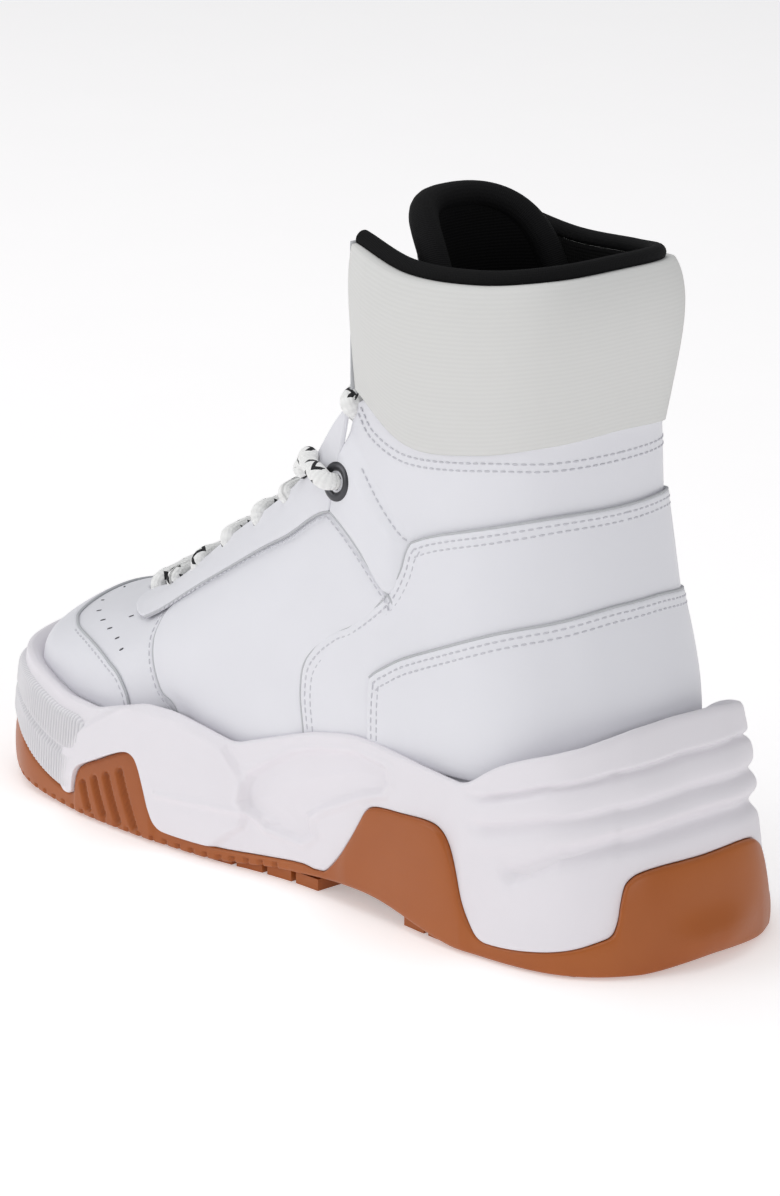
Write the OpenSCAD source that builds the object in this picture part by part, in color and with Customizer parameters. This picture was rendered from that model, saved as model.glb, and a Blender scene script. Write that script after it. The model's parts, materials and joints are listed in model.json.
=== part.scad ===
// Basketball high top: a left shoe with a moulded rubber and foam sole, a layered leather upper,
// a padded ankle collar, a padded tongue and one lace.
// Frame: +Z up, toe toward -Y, the outer (little toe) side toward +X, ground at Z = 0.
// Units are millimetres.

/* [Part] */
// sub-part to draw, or all

/* [Sole] */
// length of the sole from heel to toe
sole_length = 315; // [262:1:378]
// widest part of the sole across the ball of the foot
sole_width = 124; // [103:1:149]
// height of the tread blocks
tread_height = 4; // [3:0.1:5]
// thickness of the rubber under the midsole
outsole_thickness = 3; // [2:0.1:4]
// height of the foot bed at the heel
heel_bed_height = 30; // [27:0.5:33]
// height of the foot bed under the toes
toe_bed_height = 22; // [20:0.5:25]
// thickness of the midsole rim around the upper
rim_thickness = 2.2; // [1.6:0.1:2.6]
// thickness of the removable sockliner
sockliner_thickness = 4.5; // [3:0.1:5]

/* [Upper] */
// height of the ankle collar at the back
collar_height = 217; // [200:1:260]
// thickness of one layer of leather
leather_thickness = 1.4; // [1:0.1:1.7]
// thickness of the padded collar, front to back of the pad
collar_pad = 13; // [10:0.5:14]
// thickness of the tongue padding
tongue_pad = 6; // [4:0.5:7]
// diameter of the lace
lace_diameter = 4.8; // [4:0.1:5.2]
// inside diameter of the metal eyelets
eyelet_bore = 7; // [6:0.1:8]

/* [Hidden] */
gap = 0.15;
joint_gap = 0.5;
length_ratio = sole_length / 315;
width_ratio = sole_width / 124;
collar_ratio = (collar_height - 160) / 57;
middle = 150.5 * length_ratio;
bed_plate = 2;

// ---------------------------------------------------------------- curves
// Smooth curve through the rows of p at parameter t, counted in rows. The rows before and
// after the list, where they are given, set the slope at its ends.
function smooth(p, t, before, after) =
    let(n = len(p), i = max(0, min(n - 2, floor(t))), s = t - i, a = p[i], b = p[i + 1],
        q = i > 0 ? p[i - 1] : is_undef(before) ? 2 * a - b : before,
        r = i + 2 < n ? p[i + 2] : is_undef(after) ? 2 * b - a : after)
    0.5 * (2 * a + (b - q) * s + (2 * q - 5 * a + 4 * b - r) * s * s
        + (3 * a - q - 3 * b + r) * s * s * s);

function unit(v) = v / max(norm(v), 0.000001);
function mix(a, b, s) = a + (b - a) * s;

// A point given as width, distance forward of the heel and height, in the shared frame.
function place(p) = [p[0] * width_ratio, middle - p[1] * length_ratio, p[2]];

// ---------------------------------------------------------------- solids
// Closed sheet between an outer and an inner grid of points of the same size.
module sheet(outer, inner) {
    n = len(outer);
    k = len(outer[0]);
    size = n * k;
    points = [for (row = outer) each row, for (row = inner) each row];
    function at(i, j) = i * k + j;
    faces = [
        for (i = [0:n - 2], j = [0:k - 2]) each [
            [at(i, j), at(i + 1, j), at(i + 1, j + 1)],
            [at(i, j), at(i + 1, j + 1), at(i, j + 1)],
            [size + at(i, j), size + at(i + 1, j + 1), size + at(i + 1, j)],
            [size + at(i, j), size + at(i, j + 1), size + at(i + 1, j + 1)]],
        for (i = [0:n - 2]) each [
            wall(at(i + 1, 0), at(i, 0), size), wall2(at(i + 1, 0), at(i, 0), size),
            wall(at(i, k - 1), at(i + 1, k - 1), size),
            wall2(at(i, k - 1), at(i + 1, k - 1), size)],
        for (j = [0:k - 2]) each [
            wall(at(0, j), at(0, j + 1), size), wall2(at(0, j), at(0, j + 1), size),
            wall(at(n - 1, j + 1), at(n - 1, j), size),
            wall2(at(n - 1, j + 1), at(n - 1, j), size)]];
    polyhedron(points, faces, convexity = 8);
}

function wall(a, b, size) = [a, b, b + size];
function wall2(a, b, size) = [a, b + size, a + size];

// Closed solid from loops that start at the heel centre and run round by the outer side.
module cup(loops) {
    n = len(loops[0]);
    h = n / 2;
    r = len(loops);
    top = (r - 1) * n;
    points = [for (row = loops) each row];
    function at(m, k) = k * n + m % n;
    faces = [
        for (k = [0:r - 2], m = [0:n - 1]) each [
            [at(m, k), at(m + 1, k), at(m + 1, k + 1)],
            [at(m, k), at(m + 1, k + 1), at(m, k + 1)]],
        for (m = [0:h - 1]) each [
            if (m > 0) [m + 1, m, n - m],
            if (m < h - 1) [m + 1, (n - m) % n, n - m - 1],
            if (m < h - 1) [top + m, top + m + 1, top + n - m - 1],
            if (m > 0) [top + m, top + n - m - 1, top + n - m]],
        ];
    polyhedron(points, faces, convexity = 8);
}

// Round cord of one radius along a list of points, with a frame carried along the path.
module cord(path, radius, sides = 8) {
    n = len(path);
    tangent = [for (i = [0:n - 1]) unit(path[min(i + 1, n - 1)] - path[max(i - 1, 0)])];
    first = unit(cross(tangent[0], abs(tangent[0][2]) < 0.9 ? [0, 0, 1] : [1, 0, 0]));
    across = [for (i = 0, a = first; i < n; i = i + 1,
                   a = i < n ? unit(a - (a * tangent[i]) * tangent[i]) : a) a];
    points = [for (i = [0:n - 1]) let(b = cross(tangent[i], across[i]))
        for (k = [0:sides - 1])
            path[i] + radius * (cos(360 * k / sides) * across[i] + sin(360 * k / sides) * b)];
    faces = [
        for (i = [0:n - 2], k = [0:sides - 1]) let(k2 = (k + 1) % sides) each [
            [i * sides + k, (i + 1) * sides + k, (i + 1) * sides + k2],
            [i * sides + k, (i + 1) * sides + k2, i * sides + k2]],
        [for (k = [0:sides - 1]) k],
        [for (k = [sides - 1:-1:0]) (n - 1) * sides + k]];
    polyhedron(points, faces, convexity = 8);
}

// ---------------------------------------------------------------- sole
// Plan of the sole: width and distance forward at twelve stations of each side.
outer_side = [[0, -8], [27, -4], [47, 15], [54, 52], [53, 95], [53.5, 135], [59, 170], [62, 205],
              [61, 240], [54.5, 272], [34, 296], [-6, 307]];
inner_side = [[0, -8], [-27, -4], [-46, 15], [-53, 52], [-50, 95], [-49.5, 135], [-55, 170],
              [-60, 205], [-62, 240], [-58.5, 272], [-40, 296], [-6, 307]];
// Height of the top edge of the sole, and how far it leans in over its height.
edge_line = [[0, 76.5], [1, 75.5], [1.5, 74], [2, 71.5], [2.35, 68.5], [2.6, 65], [2.75, 61.5],
             [2.95, 55.5], [3.15, 55.8], [3.55, 57.5], [4, 58.4], [4.25, 58.3], [4.7, 54.8], [5.15, 49], [5.65, 43], [6.05, 45.6], [6.45, 47.9],
             [6.85, 47.5], [7.25, 43.4], [7.6, 39.5], [8.2, 39.5], [8.8, 44], [9.3, 45.2], [11, 46]];
lean = [17, 15.5, 7.5, 1, 1, 1, 1.5, 2, 3, 3.5, 3.5, 3.5];
// Height of the rubber on the wall, as station and height.
rubber_line = [[0, 33], [0.92, 33], [1.15, 30], [1.38, 14], [1.6, 11], [1.88, 9], [2.2, 8],
               [2.55, 8], [2.8, 12], [3.05, 24], [3.25, 33], [3.5, 37], [3.9, 36], [4.15, 30], [4.45, 16],
               [4.8, 9], [5.2, 8], [6.3, 8], [6.6, 10], [6.85, 19], [7.05, 25], [7.3, 27],
               [7.85, 22], [8.05, 17], [8.2, 9], [8.7, 9], [9.2, 17], [9.7, 21], [11, 22]];
// Height of the underside above the tread.
underside = [1.5, 0, 0, 0, 5, 3, 0, 0, 0, 1.5, 4, 6];
stations = 11;
steps = 48;

function side_list(s) = s > 0 ? outer_side : inner_side;
function plan(j, s) =
    smooth(side_list(s), j, side_list(-s)[1], side_list(-s)[stations - 1]);
function even(list, j) = smooth(list, j, list[1], list[stations - 1]);
function outward(j, s) =
    let(e = 0.05, a = plan(max(0, j - e), s), b = plan(min(stations, j + e), s), d = unit(b - a))
    j < 0.02 ? [0, -1] : j > stations - 0.02 ? [0, 1] : [-d[1], d[0]] * -s;
// Heights scale so that the underside follows the tread height.
function under(j) = tread_height + max(0, even(underside, j));
function edge(j) = lookup(j, edge_line);
function rubber(j) = max(under(j) + outsole_thickness + 0.8, lookup(j, rubber_line));
function bed(f) = mix(heel_bed_height, toe_bed_height, min(1, max(0, (f - 90) / 110)));
// Sole wall point at station j of side s, height z, moved in by the amount inset.
function wall_point(j, s, z, inset) =
    let(p = plan(j, s), o = outward(j, s), h = min(1, max(0, z / edge(j))),
        shift = -even(lean, j) * h * h - inset)
    place([p[0] + o[0] * shift, p[1] + o[1] * shift, z]);
// One closed loop of the sole; height and inset are functions of the station.
function loop(height, inset) = [
    for (m = [0:steps]) let(j = stations * m / steps) wall_point(j, 1, height(j), inset(j)),
    for (m = [steps - 1:-1:1]) let(j = stations * m / steps)
        wall_point(j, -1, height(j), inset(j))];

wrap_thickness = 2.6;
foot_inset = 2.6;

module outsole() {
    color([0.78, 0.5, 0.27])
    cup([
        loop(function(j) under(j), function(j) 1.5),
        loop(function(j) under(j) + 1.5, function(j) 0),
        loop(function(j) rubber(j), function(j) 0),
        loop(function(j) rubber(j), function(j) wrap_thickness),
        loop(function(j) under(j) + outsole_thickness, function(j) wrap_thickness)]);
}

module midsole() {
    color([0.95, 0.94, 0.96])
    cup([
        loop(function(j) under(j) + outsole_thickness + gap,
             function(j) wrap_thickness + gap),
        loop(function(j) rubber(j) + gap, function(j) wrap_thickness + gap),
        loop(function(j) rubber(j) + gap, function(j) 0),
        loop(function(j) mix(rubber(j), edge(j), 0.5), function(j) 0),
        loop(function(j) edge(j) - 1.5, function(j) 0),
        loop(function(j) edge(j), function(j) 1),
        loop(function(j) edge(j) - 0.6, function(j) rim_thickness),
        loop(function(j) bed(smooth(outer_side, j)[1]) + 1, function(j) foot_inset),
        loop(function(j) bed(smooth(outer_side, j)[1]), function(j) foot_inset + 1)]);
}

// Ribbed band round the front of the sole wall, a rib every second grid column.
bumper_from = 7.7;
bumper_columns = 42;
bumper_thickness = 1.8;
function bumper_spot(i) =
    let(t = mix(bumper_from, 2 * stations - bumper_from, i / bumper_columns))
    t > stations ? [2 * stations - t, -1] : [t, 1];
function bumper_row(i, k, out) =
    let(q = bumper_spot(i), low = rubber(q[0]) + 1.5, high = edge(q[0]) - 6)
    wall_point(q[0], q[1], mix(low, high, k / 3), -out);

module toe_bumper() {
    color([0.96, 0.95, 0.97])
    sheet(
        [for (i = [0:bumper_columns]) [for (k = [0:3])
            bumper_row(i, k, gap + (i % 2 == 0 ? bumper_thickness : bumper_thickness - 0.5))]],
        [for (i = [0:bumper_columns]) [for (k = [0:3]) bumper_row(i, k, gap)]]);
}

// Tread blocks: bars across the sole, cut to its plan, with a straight groove between.
function station_of(f, j = 1) = smooth(outer_side, j)[1] >= f ? j : station_of(f, j + 0.05);
function half_width(f, s) = smooth(side_list(s), station_of(f))[0];

module tread(from, to, count, groove, border) {
    pitch = (to - from) / count;
    cuts = 3;
    for (i = [0:count - 1]) {
        a = from + i * pitch;
        b = a + pitch - groove;
        linear_extrude(tread_height)
            polygon([
                for (k = [0:cuts]) let(f = mix(a, b, k / cuts), p = place([half_width(f, 1), f, 0]))
                    [p[0] - border, p[1]],
                for (k = [cuts:-1:0]) let(f = mix(a, b, k / cuts), p = place([half_width(f, -1), f, 0]))
                    [p[0] + border, p[1]]]);
    }
}

module forefoot_tread() {
    color([0.72, 0.44, 0.22])
    tread(122, 262, 11, 2.2, 2.5);
}

module heel_tread() {
    color([0.72, 0.44, 0.22])
    tread(10, 82, 6, 2.2, 3);
}

// Plate that follows the foot bed, between two heights above it.
plate_steps = 26;
// Loop inside the lower edge of the upper, moved in by the amount inset.
function plate_loop(inset, lift) =
    let(spot = function(t)
            let(p = skin(t, 0), n = skin_normal(t, 0.05), q = p - inset * unit([n[0], n[1], 0]))
            [q[0], q[1], bed((middle - q[1]) / length_ratio) + lift])
    [for (m = [0:2 * plate_steps - 1]) spot(rib_last * m / plate_steps)];

module plate(inset, low, high) {
    cup([plate_loop(inset, low), plate_loop(inset, high)]);
}

shank_thickness = 1.2;
board_inset = 0.5;
liner_inset = 7;

function shank_spot(m, w, z) =
    let(f = 40 + 110 * m / 12)
    place([w * sqrt(sin(15 * m)), f, bed(f) + z]);

module shank() {
    color([0.45, 0.47, 0.5])
    let(z0 = gap, z1 = gap + shank_thickness, w = 16)
    cup([for (z = [z0, z1])
        [for (m = [0:12]) shank_spot(m, w, z), for (m = [11:-1:1]) shank_spot(m, -w, z)]]);
}

module insole_board() {
    color([0.82, 0.78, 0.7])
    plate(board_inset, shank_thickness + 2 * gap, shank_thickness + 2 * gap + bed_plate);
}

liner_low = shank_thickness + bed_plate + 2 * gap + joint_gap;

module sockliner() {
    color([0.16, 0.16, 0.17])
    plate(liner_inset, liner_low, liner_low + sockliner_thickness);
}

// ---------------------------------------------------------------- upper surface
// Ribs of the upper from heel centre to toe centre; each rib gives width, forward, height
// from the foot bed to the ankle line or the edge of the throat.
ribs = [
    [[0, 22.5, 33], [0, 22.5, 72], [0, 29.5, 108], [0, 34.5, 140], [0, 37.5, 178]],
    [[25, 29, 33], [26, 30, 72], [24, 36, 108], [23, 40, 140], [23, 42, 177]],
    [[39, 49, 33], [40, 51, 72], [37, 56, 108], [34, 59, 140], [33, 61, 172]],
    [[42, 87, 33], [43, 88, 70], [41, 89, 102], [37, 90, 134], [35, 91, 168]],
    [[42, 122, 32], [44, 124, 66], [42, 125, 98], [37, 122, 130], [32, 118, 164]],
    [[44, 158, 29], [46, 155, 56], [45, 151, 84], [39, 147, 109], [30, 145, 131]],
    [[47, 196, 26], [48, 195, 48], [47, 192, 68], [39, 188, 86], [26, 185, 102]],
    [[48, 236, 25], [49, 235, 42], [46, 232, 55], [35, 229, 66], [21, 226, 74]],
    [[42.5, 275, 25], [43, 275, 38], [41, 274, 49], [31, 268, 57], [12, 256, 65]],
    [[0, 297, 26], [0, 298, 39], [0, 293, 49], [0, 281, 58], [0, 259, 65]]];
swing_line = [0, 1.5, 3, 2, -1, -6];
rib_last = 9;

function swing(f) = smooth(swing_line, max(0, min(5, f / 61)));
// Position on the upper: t counts ribs from the heel centre round by the outer side, v up a rib.
function fold(t) = t < 0 ? [-t, -1] : t > rib_last ? [2 * rib_last - t, -1] : [t, 1];
function flip(p) = [-p[0], p[1], p[2]];
function rib_at(u) = [for (k = [0:4]) smooth([for (r = ribs) r[k]], u, flip(ribs[1][k]), flip(ribs[8][k]))];
function skin(t, v) =
    let(q = fold(t), p = smooth(rib_at(q[0]), v))
    place([q[1] * p[0] + swing(p[1]), p[1], p[2]]);
function skin_normal(t, v) =
    let(e = 0.04)
    unit(cross(skin(t, v + e) - skin(t, v - e), skin(t + e, v) - skin(t - e, v)));
function raised(t, v, d) = skin(t, v) + (d + sink) * skin_normal(t, v);

// Piece of the upper between two edge lines given as lists of rib and height.
module panel(from, to, low, high, columns, rows, base, thickness) {
    spots = [for (i = [0:columns]) let(t = mix(from, to, i / columns), q = fold(t),
                 a = lookup(q[0], low), b = max(a + 0.08, lookup(q[0], high)))
        [for (k = [0:rows]) [t, mix(a, b, k / rows)]]];
    normals = [for (row = spots) [for (s = row) skin_normal(s[0], s[1])]];
    grid = [for (row = spots) [for (s = row) skin(s[0], s[1])]];
    sheet(
        [for (i = [0:columns]) [for (k = [0:rows]) grid[i][k] + (sink + base + thickness) * normals[i][k]]],
        [for (i = [0:columns]) [for (k = [0:rows]) grid[i][k] + (sink + base) * normals[i][k]]]);
}

layer = leather_thickness + gap;
// Thicker leather grows inward, so that the outside of the upper still fits the sole.
sink = -3 * (leather_thickness - 1.4);
lining_thickness = 1;
lining_base = -4.4;
counter_thickness = 1.4;

module toe_puff() {
    color([0.88, 0.86, 0.8])
    panel(7, 11, [[7, 0.35], [9, 0.35]], [[7, 1.2], [8, 2], [9, 2.2]], 20, 4,
          -counter_thickness - 6 * gap, counter_thickness);
}

module heel_counter() {
    color([0.6, 0.6, 0.62])
    panel(-2.6, 2.6, [[0, 0.35], [3, 0.35]], [[0, 1.9], [2, 1.6], [2.6, 1]], 24, 4,
          -counter_thickness - gap, counter_thickness);
}

module boot_lining() {
    color([0.1, 0.1, 0.11])
    panel(-8.2, 8.2, [[0, 0.25], [9, 0.25]],
          [[0, 3.6], [3, 3.4], [3.5, 2.95], [4.4, 2.85], [4.8, 3], [6, 3.1], [8.2, 2.9]], 46, 6,
          lining_base, lining_thickness);
}

module vamp() {
    color([0.95, 0.95, 0.97])
    panel(6.1, 11.9, [[6, 0.1], [9, 0.1]], [[6.1, 1.2], [6.9, 3.2], [7.6, 3.5], [8.2, 3.9], [9, 4]],
          32, 6, -2 * gap, leather_thickness);
}

module toe_cap() {
    color([0.94, 0.94, 0.96])
    panel(6.8, 11.2, [[6.8, 0.1], [9, 0.1]],
          [[6.8, 0.3], [7.4, 1.4], [8, 2], [8.5, 2.2], [9, 2.3]], 30, 5, layer + gap / 2, leather_thickness);
}

quarter_low = [[3.12, 2.3], [3.5, 1.94], [3.76, 1.79], [4.1, 1.55], [4.3, 1.05], [4.45, 0.1], [6.3, 0.1],
               [6.5, 1], [6.9, 2.1], [7.4, 3], [7.75, 3.35]];
quarter_high = [[3.12, 2.4], [3.5, 2.6], [4, 3], [4.5, 3.25], [5, 3.7], [5.3, 3.95], [7.75, 3.95]];

module quarter(s) {
    ends = s > 0 ? [3.12, 7.75] : [18 - 7.75, 18 - 3.12];
    panel(ends[0], ends[1], quarter_low, quarter_high, 28, 7, layer + gap, leather_thickness);
}

module quarter_outer() {
    color([0.96, 0.96, 0.98])
    quarter(1);
}

module quarter_inner() {
    color([0.96, 0.96, 0.98])
    quarter(-1);
}

// Folded band along the edge of the throat.
module eyestay(s) {
    ends = s > 0 ? [4.85, 7.85] : [18 - 7.85, 18 - 4.85];
    panel(ends[0], ends[1], [[4.8, 3.5], [5.2, 3.62], [7, 3.5], [7.85, 3.3]],
          [[4.8, 3.85], [5.2, 4.02], [7.85, 4.02]], 20, 2, 2 * layer + gap, leather_thickness);
}

module eyestay_outer() {
    color([0.93, 0.93, 0.95])
    eyestay(1);
}

module eyestay_inner() {
    color([0.93, 0.93, 0.95])
    eyestay(-1);
}

eyelet_rib = 4.0;
eyelet_row = 3.22;
eyelet_wall = 1.6;

module at_eyelet(t) {
    p = skin(t, eyelet_row);
    n = skin_normal(t, eyelet_row);
    translate(p + sink * n)
        rotate([0, acos(n[2]), atan2(n[1], n[0])])
            children();
}

module ankle_panel() {
    color([0.95, 0.95, 0.97])
    difference() {
        panel(-4.75, 4.75, [[0, 2.4], [2, 2.2], [3, 1.9], [4, 0.5], [4.75, 0.5]],
              [[0, 3.98], [4, 3.98], [4.3, 3.8], [4.75, 3.4]], 48, 4, 0, leather_thickness);
        for (t = [eyelet_rib, -eyelet_rib]) at_eyelet(t)
            cylinder(d = eyelet_bore + 2 * eyelet_wall, h = 12, center = true, $fn = 24);
    }
}

module heel_overlay_middle() {
    color([0.96, 0.96, 0.98])
    panel(-4.35, 4.35, [[0, 0.1], [5, 0.1]],
          [[0, 3], [1, 3], [2, 2.83], [2.85, 2.7], [3, 2.3], [3.14, 2.1], [3.5, 1.74],
           [3.76, 1.6], [4.1, 1.33], [4.25, 0.9], [4.35, 0.5]], 56, 5, layer, leather_thickness);
}

module heel_overlay_lower() {
    color([0.96, 0.96, 0.98])
    panel(-3.15, 3.15, [[0, 0.6], [5, 0.6]],
          [[0, 2.07], [1, 2.03], [2, 1.8], [2.8, 1.54], [3.05, 1.4], [3.15, 1]], 40, 5,
          2 * layer + gap, leather_thickness);
}

// ---------------------------------------------------------------- collar
// Centre line of the pad in plan, with the heights of its lower and upper edges.
collar_plan = [[0, 35], [23, 40], [33.5, 61], [35, 90], [32, 117]];
collar_low = [165, 163, 158, 156, 169];
collar_top = [217, 216, 213, 212, 217];
collar_end = 3.98;

function collar_base(t) =
    let(q = fold(t), p = smooth(collar_plan, q[0], [-collar_plan[1][0], collar_plan[1][1]]))
    [q[1] * p[0] + swing(p[1]), p[1], 0];
function collar_out(t) =
    let(e = 0.03, d = unit(place(collar_base(t + e)) - place(collar_base(t - e))))
    [-d[1], d[0], 0];
function collar_z(t, h) =
    let(u = abs(t), a = smooth(collar_low, u, collar_low[1]),
        b = 160 + (smooth(collar_top, u, collar_top[1]) - 160) * collar_ratio)
    mix(a, b, h);
function bulge(h) = pow(max(0, sin(180 * min(1, max(0, h * 0.94 + 0.03)))), 0.6);
function taper(t) = pow(max(0.0, min(1, (collar_end + 0.12 - abs(t)) / 0.55)), 0.5);
// Point of the collar at height share h and offset o from its centre line.
function collar_point(t, h, o) =
    let(b = place(collar_base(t)), n = collar_out(t))
    [b[0] + n[0] * o, b[1] + n[1] * o, collar_z(t, h)];
function pad_outer(t, h) = 1.7 + layer + (collar_pad * 0.45) * bulge(h) * taper(t);
function pad_inner(t, h) = -2.4 - (collar_pad * 0.15) * bulge(h) * taper(t);

collar_columns = 34;
collar_rows = 6;
cover_thickness = 1.2;

module collar_layer(outer, inner, low, high, rows) {
    spots = [for (i = [0:collar_columns])
        [for (k = [0:rows]) [mix(-collar_end, collar_end, i / collar_columns), mix(low, high, k / rows)]]];
    sheet([for (row = spots) [for (s = row) collar_point(s[0], s[1], outer(s[0], s[1]))]],
          [for (row = spots) [for (s = row) collar_point(s[0], s[1], inner(s[0], s[1]))]]);
}

module collar_cover() {
    color([0.93, 0.94, 0.93])
    collar_layer(function(t, h) pad_outer(t, h), function(t, h) pad_outer(t, h) - cover_thickness,
                 0, 0.97, collar_rows);
}

module collar_foam() {
    color([0.85, 0.85, 0.8])
    collar_layer(function(t, h) pad_outer(t, h) - cover_thickness - gap,
                 function(t, h) pad_inner(t, h) + lining_thickness + gap, 0.32, 0.94, collar_rows);
}

module collar_lining() {
    color([0.09, 0.09, 0.1])
    collar_layer(function(t, h) pad_inner(t, h) + lining_thickness,
                 function(t, h) pad_inner(t, h), 0.04, 0.97, collar_rows);
}

binding_radius = 2.6;

module collar_binding() {
    color([0.07, 0.07, 0.08])
    cord([for (i = [0:48]) let(t = mix(-collar_end, collar_end, i / 48))
        collar_point(t, 1.02, 0.1)], binding_radius, 8);
}

// Thin leather edge down the front of the collar.
module collar_edge(s) {
    a = s > 0 ? 3.995 : -4.06;
    b = s > 0 ? 4.06 : -3.995;
    sheet([for (t = [a, b]) [for (k = [0:8]) collar_point(t, mix(-0.02, 1, k / 8), 4.2)]],
          [for (t = [a, b]) [for (k = [0:8]) collar_point(t, mix(-0.02, 1, k / 8), -2.4)]]);
}

module collar_edge_outer() {
    color([0.8, 0.81, 0.83])
    collar_edge(1);
}

module collar_edge_inner() {
    color([0.8, 0.81, 0.83])
    collar_edge(-1);
}

// ---------------------------------------------------------------- tongue
// Stations up the tongue: forward, height, half width and depth of the hollow section.
tongue_ribs = [[240, 61, 10, 2], [222, 67, 15, 5], [192, 79, 20, 8], [162, 101, 23, 12],
               [133, 126, 23, 16], [115, 152, 23, 20], [110, 182, 23.5, 24], [110, 207, 25, 27],
               [113, 229, 28, 30]];
tongue_last = 8;
tongue_arc = 75;

function tongue_point(k, s, d) =
    let(p = smooth(tongue_ribs, k), e = 0.05,
        a = smooth(tongue_ribs, k - e), b = smooth(tongue_ribs, k + e),
        up = unit([b[0] - a[0], b[1] - a[1]]), n = [-up[1], up[0]] * -1,
        turn = tongue_arc * s, drop = p[3] * (1 - cos(turn)) / (1 - cos(tongue_arc)),
        w = p[2] * sin(turn) / sin(tongue_arc),
        side = sin(turn) * d * 0.75, out = cos(turn) * d)
    place([w + side + swing(p[0]), p[0] + n[0] * (out - drop), p[1] + n[1] * (out - drop)]);

tongue_columns = 15;
tongue_rows = 10;

// The top edge is round: it drops towards the sides.
function tongue_top(s) = 7.85 - 1.5 * pow(abs(s), 3);

module tongue_layer(top, bottom, width) {
    spots = [for (i = [0:tongue_columns]) [for (m = [0:tongue_rows])
        let(s = mix(-width, width, m / tongue_rows))
        [mix(0.1, tongue_top(s) - 0.2, i / tongue_columns), s]]];
    sheet([for (row = spots) [for (p = row) tongue_point(p[0], p[1], top)]],
          [for (row = spots) [for (p = row) tongue_point(p[0], p[1], bottom)]]);
}

tongue_face_thickness = 1.1;
tongue_half = tongue_pad / 2;

module tongue_face() {
    color([0.9, 0.92, 0.95])
    tongue_layer(tongue_half + gap + tongue_face_thickness, tongue_half + gap, 0.86);
}

module tongue_foam() {
    color([0.85, 0.85, 0.8])
    tongue_layer(tongue_half, -tongue_half, 0.85);
}

module tongue_lining() {
    color([0.09, 0.09, 0.1])
    tongue_layer(-tongue_half - gap, -tongue_half - gap - tongue_face_thickness, 0.86);
}

tongue_binding_radius = 2.5;

module tongue_binding() {
    color([0.07, 0.07, 0.08])
    cord([for (i = [0:15]) tongue_point(mix(2, 6.2, i / 15), -1.03, 0),
          for (i = [0:20]) let(s = sin(mix(-84, 84, i / 20))) tongue_point(tongue_top(s) + 0.03, s, 0),
          for (i = [15:-1:0]) tongue_point(mix(2, 6.2, i / 15), 1.03, 0)],
         tongue_binding_radius, 8);
}

// ---------------------------------------------------------------- lacing
module eyelets() {
    color([0.13, 0.13, 0.14])
    for (t = [eyelet_rib, -eyelet_rib]) at_eyelet(t)
        rotate_extrude($fn = 20)
            polygon([[eyelet_bore / 2, -0.8], [eyelet_bore / 2 + eyelet_wall - 0.2, -0.8],
                     [eyelet_bore / 2 + eyelet_wall - 0.2, 2 * leather_thickness + 0.2],
                     [eyelet_bore / 2 + eyelet_wall + 1.2, 2 * leather_thickness + 0.3],
                     [eyelet_bore / 2 + eyelet_wall + 0.6, 2 * leather_thickness + 1.2],
                     [eyelet_bore / 2, 2 * leather_thickness + 0.9]]);
}

// Rib position of each row of the lace, from the toe up to the ankle.
lace_rows = [7.35, 6.95, 6.5, 6.05, 5.6, 5.2, 4.85];
lace_depth = -2.6;
lace_run_rows = [3.7, 3.86];
lace_radius = lace_diameter / 2;

// Straight bar across the throat at row r, from side s to the other side.
function lace_bar(r, s) =
    let(t = lace_rows[r], t2 = 2 * rib_last - t, a = raised(t, 3.98, lace_radius - 3),
        b = raised(t2, 3.98, lace_radius - 3), p = s > 0 ? a : b, q = s > 0 ? b : a,
        lift = unit(skin_normal(t, 4) + skin_normal(t2, 4)))
    [for (i = [0:6]) mix(p, q, i / 6) + lift * 5 * sin(180 * i / 6)];
// Run under the edge of the throat on side s from row a to row b.
function lace_run(a, b, s, track) =
    [for (i = [0:3]) let(t = mix(lace_rows[a], lace_rows[b], i / 3),
         w = s > 0 ? t : 2 * rib_last - t)
        raised(w, lace_run_rows[track], lace_depth)];
// From the throat over the face of the ankle panel on side s and in through its eyelet.
lace_over = [[4.92, 4.12, 3], [4.62, 3.86, 6.4], [4.45, 3.64, 7.4], [4.2, 3.4, 8.2],
             [4.04, 3.26, 8.2], [4, 3.22, 5.2], [4, 3.22, 0], [4, 3.24, -4.6], [4.05, 3.5, -6], [4.09, 3.8, -5.8], [4.09, 4.04, -3.4]];
function lace_to_eyelet(s) = [for (p = lace_over) raised(s * p[0], p[1], p[2])];
// Bar above the eyelets, from side s to the other side, and the end tucked down inside.
function lace_top(s, lift) =
    let(a = raised(s * 4.09, 4.02, lace_radius), b = raised(-s * 4.09, 4.02, lace_radius))
    [for (i = [0:6]) mix(a, b, i / 6) + [0, -lift * sin(180 * i / 6), 0.3 * lift]];
function lace_end(s) =
    [for (i = [0:7]) raised(s * mix(4.09, 3.5, i / 7), mix(3.85, 3, i / 7), i == 0 ? -4.2 : -8.4)];

module lace() {
    color([0.95, 0.95, 0.96])
    union() {
        cord([for (p = lace_bar(0, 1)) p, each lace_run(0, 2, -1, 0), each lace_bar(2, -1),
              each lace_run(2, 4, 1, 0), each lace_bar(4, 1), each lace_run(4, 6, -1, 0),
              each lace_bar(6, -1), each lace_to_eyelet(1), each lace_top(1, 9),
              each lace_end(-1)], lace_radius, 7);
        cord([lace_bar(0, 1)[1], lace_bar(0, 1)[0], each lace_run(0, 1, 1, 1), each lace_bar(1, 1),
              each lace_run(1, 3, -1, 1), each lace_bar(3, -1), each lace_run(3, 5, 1, 1),
              each lace_bar(5, 1), each lace_to_eyelet(-1), each lace_top(-1, 14),
              each lace_end(1)], lace_radius, 7);
    }
}

aglet_length = 16;

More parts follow.
